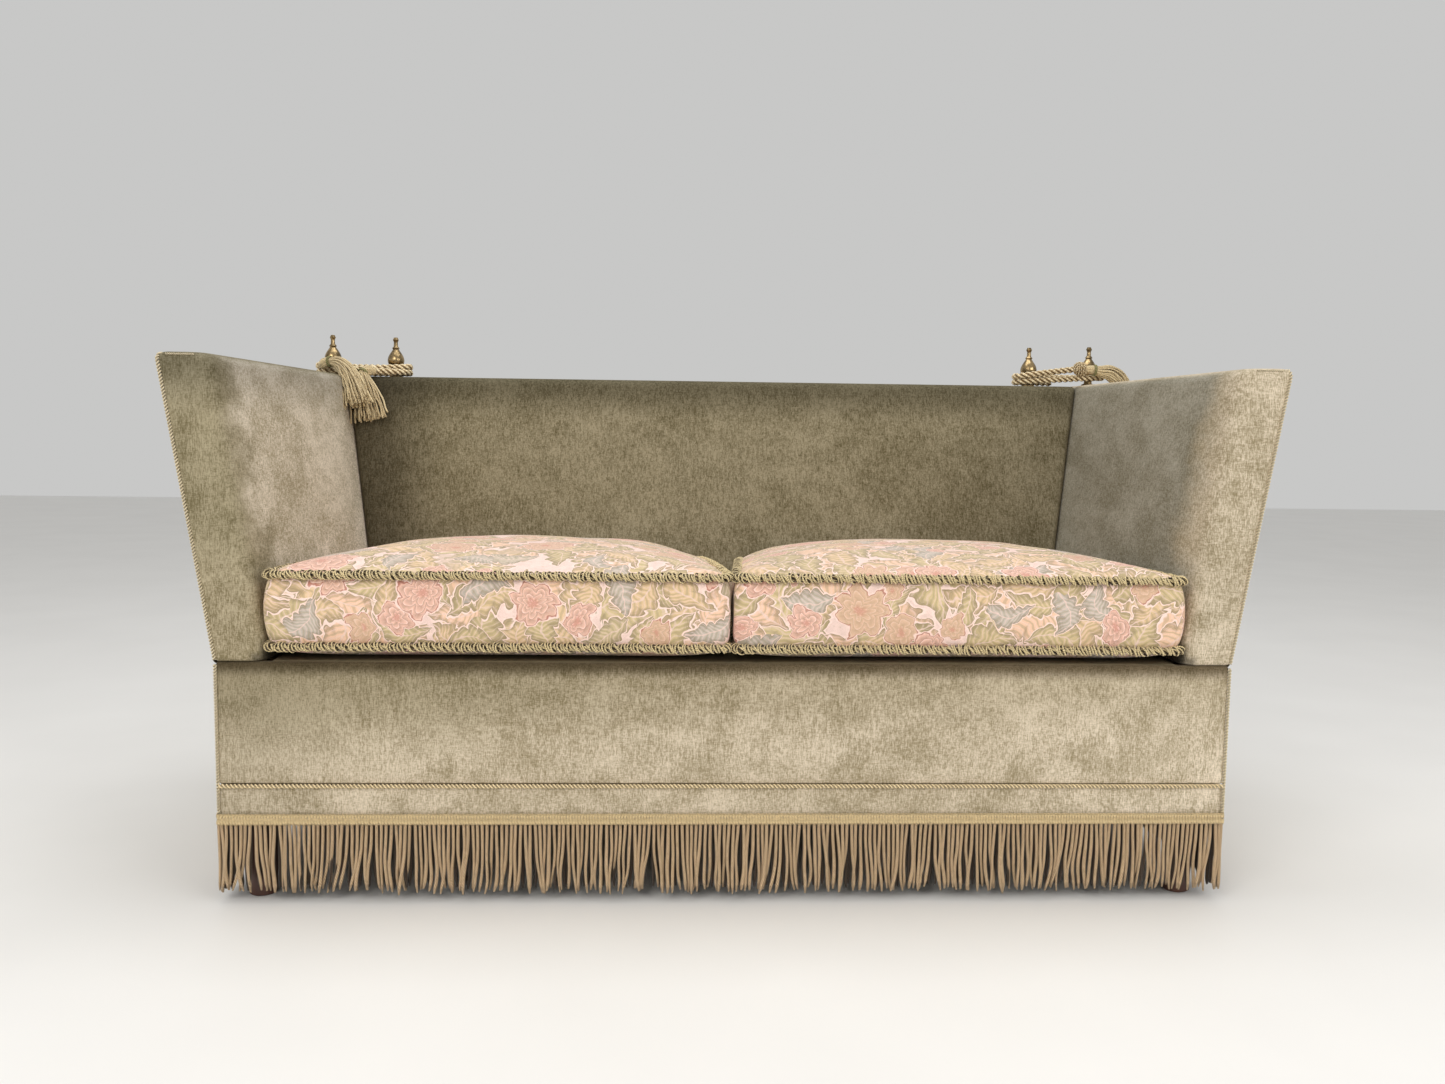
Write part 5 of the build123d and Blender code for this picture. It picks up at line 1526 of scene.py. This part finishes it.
def make_cushions():
    """Two loose cushions, simulated as stuffed cloth, with looped trim at both seams."""
    low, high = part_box("left_cushion_trims")
    loop = loop_shape()
    for side, hand in SIDES:
        middle = (side * abs(low[0] + high[0]) / 2, (low[1] + high[1]) / 2)
        plan = (middle, (high[0] - low[0]) / 2 - TRIM_RADIUS, (high[1] - low[1]) / 2 - TRIM_RADIUS)
        name = f"{hand}_cushion_floral"
        piece = cushion_shell(name, *plan)
        stuff(piece, *plan)
        mesh = piece.data
        lay_floral(mesh, *plan, 1.37 if side > 0 else 0.0)
        for vertex in mesh.vertices:
            p = settled(puckered(vertex.co.copy(), side, *plan), *plan)
            reach = max(0.0025, min(room_beside(p), abs(p.x)))
            vertex.co = (side * reach, p.y, p.z)
        smooth = piece.modifiers.new("finer", "SUBSURF")
        smooth.levels = smooth.render_levels = 1
        fine = evaluated(piece)
        bpy.data.objects.remove(piece)
        fine.polygons.foreach_set("use_smooth", [True] * len(fine.polygons))
        piece = new_piece(name, fine, "floral", f"{hand}_cushion_body")
        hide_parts(f"{hand}_cushion")
        name = f"{hand}_looped_trim"
        whole = joined(name, trim_meshes(loop, side, *plan))
        trim = new_piece(name, whole, "trim", f"{hand}_cushion_body")
        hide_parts(f"{hand}_cushion_trims")
    bpy.data.objects.remove(loop)


def make_pipings():
    """Twisted piping on the arms and corners, and the fine cord under the front border."""
    radius = sizes().piping_diameter / 2
    for side, hand in SIDES:
        rear = back_face(ARM_TOP) + BACK_THICKNESS - 0.003
        line = [Vector((side * (arm_outer(SEAM) + 0.0006), FRONT - 0.0002, SEAM + 0.003))]
        for k in range(5):
            bend = k * pi / 16
            z = ARM_TOP - ARM_ROUND * (1 - sin(bend))
            x = arm_outer(z) - ARM_ROUND * (1 - cos(bend)) + 0.0006
            line.append(Vector((side * x, FRONT + 0.001 * k, z)))
        line.append(Vector((line[-1].x, FRONT + 0.012, line[-1].z)))
        line.append(Vector((line[-1].x, rear, line[-1].z)))
        strips = twisted_strips(line, radius, 2, PIPING_TWIST, 6, detail=8)
        ends = arm_outer(ARM_TOP) - 0.012, arm_inner(ARM_TOP) + 0.02
        across = [Vector((side * x, FRONT + 0.0006, ARM_TOP - 0.0032)) for x in ends]
        strips += twisted_strips(across, radius * 0.5, 2, 0.006, 5, detail=6)
        piece = strand_piece(f"{hand}_arm_cord", strips, "piping", f"{hand}_arm")
        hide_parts(f"{hand}_arm_piping")
    low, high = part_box("corner_piping")
    strips = []
    for side, _ in SIDES:
        for y in (FRONT - 0.0004, BASE_BACK + 0.0004):
            line = [Vector((side * (HALF + 0.0002), y, z)) for z in (low[2], high[2] + 0.003)]
            strips += twisted_strips(line, radius, 2, PIPING_TWIST, 6, detail=8)
    piece = strand_piece("corner_cords", strips, "piping", "base")
    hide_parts("corner_piping")
    low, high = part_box("front_cord")
    middle_y = (low[1] + high[1]) / 2 - 0.0026
    line = [Vector((x, middle_y, CORD_HEIGHT)) for x in (-HALF + 0.001, HALF - 0.001)]
    strips = twisted_strips(line, FRONT_CORD_RADIUS, 2, FRONT_CORD_TWIST, 6, detail=8)
    piece = strand_piece("front_twisted_cord", strips, "front_cord", "base")
    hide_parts("front_cord")


def band_rings(base, ahead, outward, length):
    """A thin woven band behind the braid."""
    low, high = BAND_LOW + 0.001, HEADER_TOP - 0.001
    corners = ((-0.001, low), (0.001, low), (0.001, high), (-0.001, high))
    rings = []
    for k in range(int(length / 0.02) + 2):
        spot = base + ahead * min(length, k * 0.02)
        rings.append([spot + outward * a + Vector((0, 0, z)) for a, z in corners])
    return rings


def braid_meshes(grain, start, ahead, outward, length):
    """The fringe's header: a band, two rows of slanting stitches and a fine cord along each edge."""
    meshes = [ring_mesh("band", [band_rings(start - outward * 0.0008, ahead, outward, length)])]
    low = BAND_LOW - 0.0026
    for row, (height, lean) in enumerate(((0.25, 0.42), (0.75, -0.42))):
        z = low + (HEADER_TOP - low) * height
        path = path_object("braid_line", [start + Vector((0, 0, z)), start + ahead * length + Vector((0, 0, z))])
        meshes.append(lay_row(
            "braid", path, grain, round(length / STITCH_PITCH), STITCH_SIZE, "header", shorter=0.0016,
            turn=(lean, 0, 0), turn_spread=(0.07, 0.1, 0.05), shift_spread=(0.0002, 0.0002, 0.0002), seed=row + 3,
        ))
    for z in (low + 0.0012, HEADER_TOP - 0.0012):
        near = start + outward * 0.0006
        line = [near + Vector((0, 0, z)), near + ahead * length + Vector((0, 0, z))]
        meshes.append(ring_mesh("edge", twisted_strips(line, EDGE_CORD_RADIUS, 2, EDGE_CORD_TWIST, 5, detail=5)))
    return meshes


def make_fringe():
    """Bullion fringe on all four sides: braid, swaying strands and an uneven lower edge."""
    s = sizes()
    strand, grain = strand_shape(), grain_shape()
    top = BAND_LOW + 0.007
    front, rear, flank = FRONT - 0.0005, BASE_BACK + 0.0025, HALF + 0.0025
    runs = (
        ("front", (-HALF, front, top), (HALF, front, top), (0.013, 0.004, 0), 0.0015),
        ("rear", (HALF, rear, top), (-HALF, rear, top), (0.013, 0.002, 0), -0.0004),
        ("left", (-flank, BASE_BACK, top), (-flank, FRONT, top), (0.002, 0.013, 0), -0.0004),
        ("right", (flank, FRONT, top), (flank, BASE_BACK, top), (0.002, 0.013, 0), -0.0004),
    )
    # The inner layer, set back behind the outer strands, wears the darker copy of the fringe yarn: painted shade.
    # Each layer's name, finish, setback, inset, density, lift, unevenness, sway, stray and seed
    layers = (
        ("strands", "fringe", 0.0013, 0.5, 1.0, 0.013, 0.008, 1.0, 0.006, 0),
        ("inner_strands", "shaded_inner_fringe", 0.0073, 1.0, 0.9, 0.018, 0.006, 0.6, 0.003, 9),
    )
    for number, (name, start, end, sway, proud) in enumerate(runs):
        first, last = Vector(start), Vector(end)
        ahead = (last - first).normalized()
        length = (last - first).length
        outward = Vector((ahead.y, -ahead.x, 0))
        for layer, finish, back, inset, dense, lift, shorter, swaying, stray, seed in layers:
            gap = ahead * (s.fringe_width * inset)
            path = path_object(f"{name}_line", [first + gap - outward * back, last - gap - outward * back])
            count = round(length / s.fringe_pitch * dense)
            mesh = lay_row(
                f"{name}_{layer}", path, strand, count, (s.fringe_width, top - lift, s.fringe_width), finish,
                shorter=shorter, turn_spread=(0.02, 3.14, 0.02), shift_spread=(0.0011, 0, 0.0006),
                sway=[v * swaying for v in sway], stray=stray, top=top, drop=top,
                seed=s.fringe_seed + number * 20 + seed,
            )
            piece = new_piece(f"{name}_{layer}", mesh, finish, "base")
            if layer == "strands":
                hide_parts(f"{name}_fringe")
        face = Vector((*first.xy, 0)) + outward * proud
        meshes = braid_meshes(grain, face, ahead, outward, length)
        new_piece(f"{name}_braid", joined(f"{name}_braid", meshes), "header", "base")
    for spare in (strand, grain):
        bpy.data.objects.remove(spare)


def make_hinge_flaps():
    """Cloth flaps over the hinges."""
    axis = HALF + 0.0045
    y0, y1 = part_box("left_hinge_flap")[0][1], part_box("left_hinge_flap")[1][1]
    for side, hand in SIDES:
        outline = [(HALF + 0.001, SEAM - 0.019), (HALF + 0.001, SEAM - 0.012)]
        for k in range(13):
            angle = radians(-128 + 256 * k / 12)
            outline.append((axis + FLAP_RADIUS * cos(angle), SEAM + FLAP_RADIUS * sin(angle)))
        outline += [(arm_outer(SEAM + z) + 0.001, SEAM + z) for z in (0.012, 0.019)]
        rings = []
        for k in range(41):
            y = y0 + (y1 - y0) * k / 40
            outer = [Vector((side * x, y, z)) for x, z in outline]
            inner = [Vector((side * (x - FLAP_THICKNESS), y, z)) for x, z in reversed(outline)]
            rings.append(outer + inner)
        mesh = ring_mesh(f"{hand}_flap_velvet", [rings])
        reworked(mesh, lambda work: bmesh.ops.holes_fill(work, edges=work.edges))
        piece = new_piece(f"{hand}_flap_velvet", mesh, "velvet", None)
        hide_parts(f"{hand}_hinge_flap")
        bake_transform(piece)


def dress_hard_parts():
    """Gives the finials, feet, frame, springs and linings their own finishes."""
    groups = {
        "brass": ("finial",),
        "foot": ("foot",),
        "frame_wood": ("rail", "braces", "post"),
        "steel": ("springs", "leaves"),
        "hessian": ("hessian",),
        "lining": ("dust_cover",),
    }
    for name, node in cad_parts.items():
        for finish, words in groups.items():
            if any(word in name for word in words):
                node.data.materials.clear()
                node.data.materials.append(finish_of(finish))
    for name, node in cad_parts.items():
        if not node.data.materials or node.data.materials[0] not in list(FINISHES.values()):
            node.data.materials.clear()
            node.data.materials.append(finish_of("velvet"))
        if "finial" in name or "foot" in name:
            node.data.polygons.foreach_set("use_smooth", [True] * len(node.data.polygons))


def area_lamp(name, place, target, size, power, warmth=(1, 1, 1)):
    """A soft rectangular lamp that shines from a place towards a target."""
    lamp = bpy.data.lights.new(name, "AREA")
    lamp.shape = "RECTANGLE"
    lamp.size, lamp.size_y = size
    lamp.energy = power
    lamp.color = warmth
    holder = linked(name, lamp)
    holder.location = place
    holder.rotation_euler = (Vector(target) - Vector(place)).to_track_quat("-Z", "Y").to_euler()


def make_stage():
    """The camera at the photograph's place, a pale floor and soft studio light."""
    scene = bpy.context.scene
    camera = bpy.data.cameras.new("camera")
    camera.sensor_width = 36.0
    camera.lens = 30.15
    holder = linked("camera", camera)
    scene.camera = holder
    forward = Vector((sin(CAMERA_YAW), cos(CAMERA_YAW), 0))
    level = Vector((cos(CAMERA_YAW), -sin(CAMERA_YAW), 0))
    ahead = forward * cos(CAMERA_PITCH) - Vector((0, 0, sin(CAMERA_PITCH)))
    up = level.cross(ahead)
    right = level * cos(CAMERA_ROLL) + up * sin(CAMERA_ROLL)
    upward = up * cos(CAMERA_ROLL) - level * sin(CAMERA_ROLL)
    turn = Matrix((right, upward, -ahead)).transposed().to_4x4()
    holder.matrix_world = Matrix.Translation(CAMERA_PLACE) @ turn

    mesh = bpy.data.meshes.new("floor")
    mesh.from_pydata([(-12, -9, 0), (12, -9, 0), (12, 9, 0), (-12, 9, 0)], [], [(0, 1, 2, 3)])
    floor = linked("floor", mesh)
    ground = Finish("pale_floor")
    dust = ground.cloud(ground.place(), 3.0, 2.0, 0.5)
    ground.surface({"Base Color": ground.mix(dust, (0.78, 0.77, 0.75), (0.84, 0.83, 0.81)), "Roughness": 0.7})
    mesh.materials.append(ground.material)

    world = bpy.data.worlds.new("studio")
    scene.world = world
    world.use_nodes = True
    sky = world.node_tree.nodes["Background"]
    sky.inputs["Color"].default_value = (0.93, 0.93, 0.92, 1)
    sky.inputs["Strength"].default_value = 0.62
    area_lamp("key", (-1.6, -3.2, 2.6), (0, 0, 0.4), (2.4, 1.6), 62, (1.0, 0.97, 0.93))
    area_lamp("fill", (2.4, -2.6, 1.8), (0, 0, 0.4), (2.2, 1.6), 34, (1.0, 0.98, 0.95))
    area_lamp("top", (0, 0.2, 3.4), (0, 0, 0.4), (3.0, 2.0), 42)
    scene.view_settings.view_transform = "Standard"


class SOFA_OT_stage(bpy.types.Operator):
    """Adds the camera, the floor and the lamps"""

    bl_idname = "sofa.stage"
    bl_label = "Stage and Camera"

    def execute(self, context):
        make_stage()
        return {"FINISHED"}


class SOFA_OT_cords(bpy.types.Operator):
    """Winds the cords round the finials and hangs their tassels"""

    bl_idname = "sofa.cords"
    bl_label = "Cords and Tassels"

    def execute(self, context):
        make_cords()
        return {"FINISHED"}


class SOFA_OT_arms(bpy.types.Operator):
    """Upholsters both arms"""

    bl_idname = "sofa.arms"
    bl_label = "Arms"

    def execute(self, context):
        make_arms()
        return {"FINISHED"}


class SOFA_OT_back(bpy.types.Operator):
    """Upholsters the back"""

    bl_idname = "sofa.back"
    bl_label = "Back"

    def execute(self, context):
        make_back()
        return {"FINISHED"}


class SOFA_OT_base(bpy.types.Operator):
    """Covers the seat base"""

    bl_idname = "sofa.base"
    bl_label = "Base Covers"

    def execute(self, context):
        make_base()
        return {"FINISHED"}


class SOFA_OT_cushions(bpy.types.Operator):
    """Stuffs the seat cushions and trims their seams"""

    bl_idname = "sofa.cushions"
    bl_label = "Seat Cushions"

    def execute(self, context):
        make_cushions()
        return {"FINISHED"}


class SOFA_OT_pipings(bpy.types.Operator):
    """Runs the piping along arms, corners and front"""

    bl_idname = "sofa.pipings"
    bl_label = "Pipings"

    def execute(self, context):
        make_pipings()
        return {"FINISHED"}


class SOFA_OT_fringe(bpy.types.Operator):
    """Hangs the bullion fringe and its braid"""

    bl_idname = "sofa.fringe"
    bl_label = "Bullion Fringe"

    def execute(self, context):
        make_fringe()
        return {"FINISHED"}


class SOFA_OT_hinge_flaps(bpy.types.Operator):
    """Lays the cloth flaps over the hinges"""

    bl_idname = "sofa.hinge_flaps"
    bl_label = "Hinge Flaps"

    def execute(self, context):
        make_hinge_flaps()
        return {"FINISHED"}


class SOFA_OT_hard_parts(bpy.types.Operator):
    """Finishes the finials, feet, frame and springs"""

    bl_idname = "sofa.hard_parts"
    bl_label = "Finials, Feet and Frame"

    def execute(self, context):
        dress_hard_parts()
        return {"FINISHED"}


OPERATORS = (
    SOFA_OT_stage,
    SOFA_OT_cords,
    SOFA_OT_arms,
    SOFA_OT_back,
    SOFA_OT_base,
    SOFA_OT_cushions,
    SOFA_OT_pipings,
    SOFA_OT_fringe,
    SOFA_OT_hinge_flaps,
    SOFA_OT_hard_parts,
)


class SOFA_PT_panel(bpy.types.Panel):
    """Lists the steps that dress the sofa"""

    bl_idname = "SOFA_PT_panel"
    bl_label = "Knole Sofa"
    bl_space_type = "VIEW_3D"
    bl_region_type = "UI"
    bl_category = "Sofa"

    def draw(self, context):
        for operator in OPERATORS:
            self.layout.operator(operator.bl_idname)
        for group in (context.scene.sofa_sizes, context.scene.sofa_colours):
            box = self.layout.box()
            for name in group.__annotations__:
                box.prop(group, name)


CLASSES = (SofaSizes, SofaColours, *OPERATORS, SOFA_PT_panel)


def register():
    """Adds the classes and the two groups of settings."""
    for item in CLASSES:
        bpy.utils.register_class(item)
    bpy.types.Scene.sofa_sizes = PointerProperty(type=SofaSizes)
    bpy.types.Scene.sofa_colours = PointerProperty(type=SofaColours)


def unregister():
    """Takes the settings and the classes away again."""
    del bpy.types.Scene.sofa_colours
    del bpy.types.Scene.sofa_sizes
    for item in reversed(CLASSES):
        bpy.utils.unregister_class(item)


def main():
    """Dresses the whole sofa."""
    register()
    for operator in OPERATORS:
        getattr(bpy.ops.sofa, operator.bl_idname.split(".")[1])()


if __name__ == "__main__":
    main()
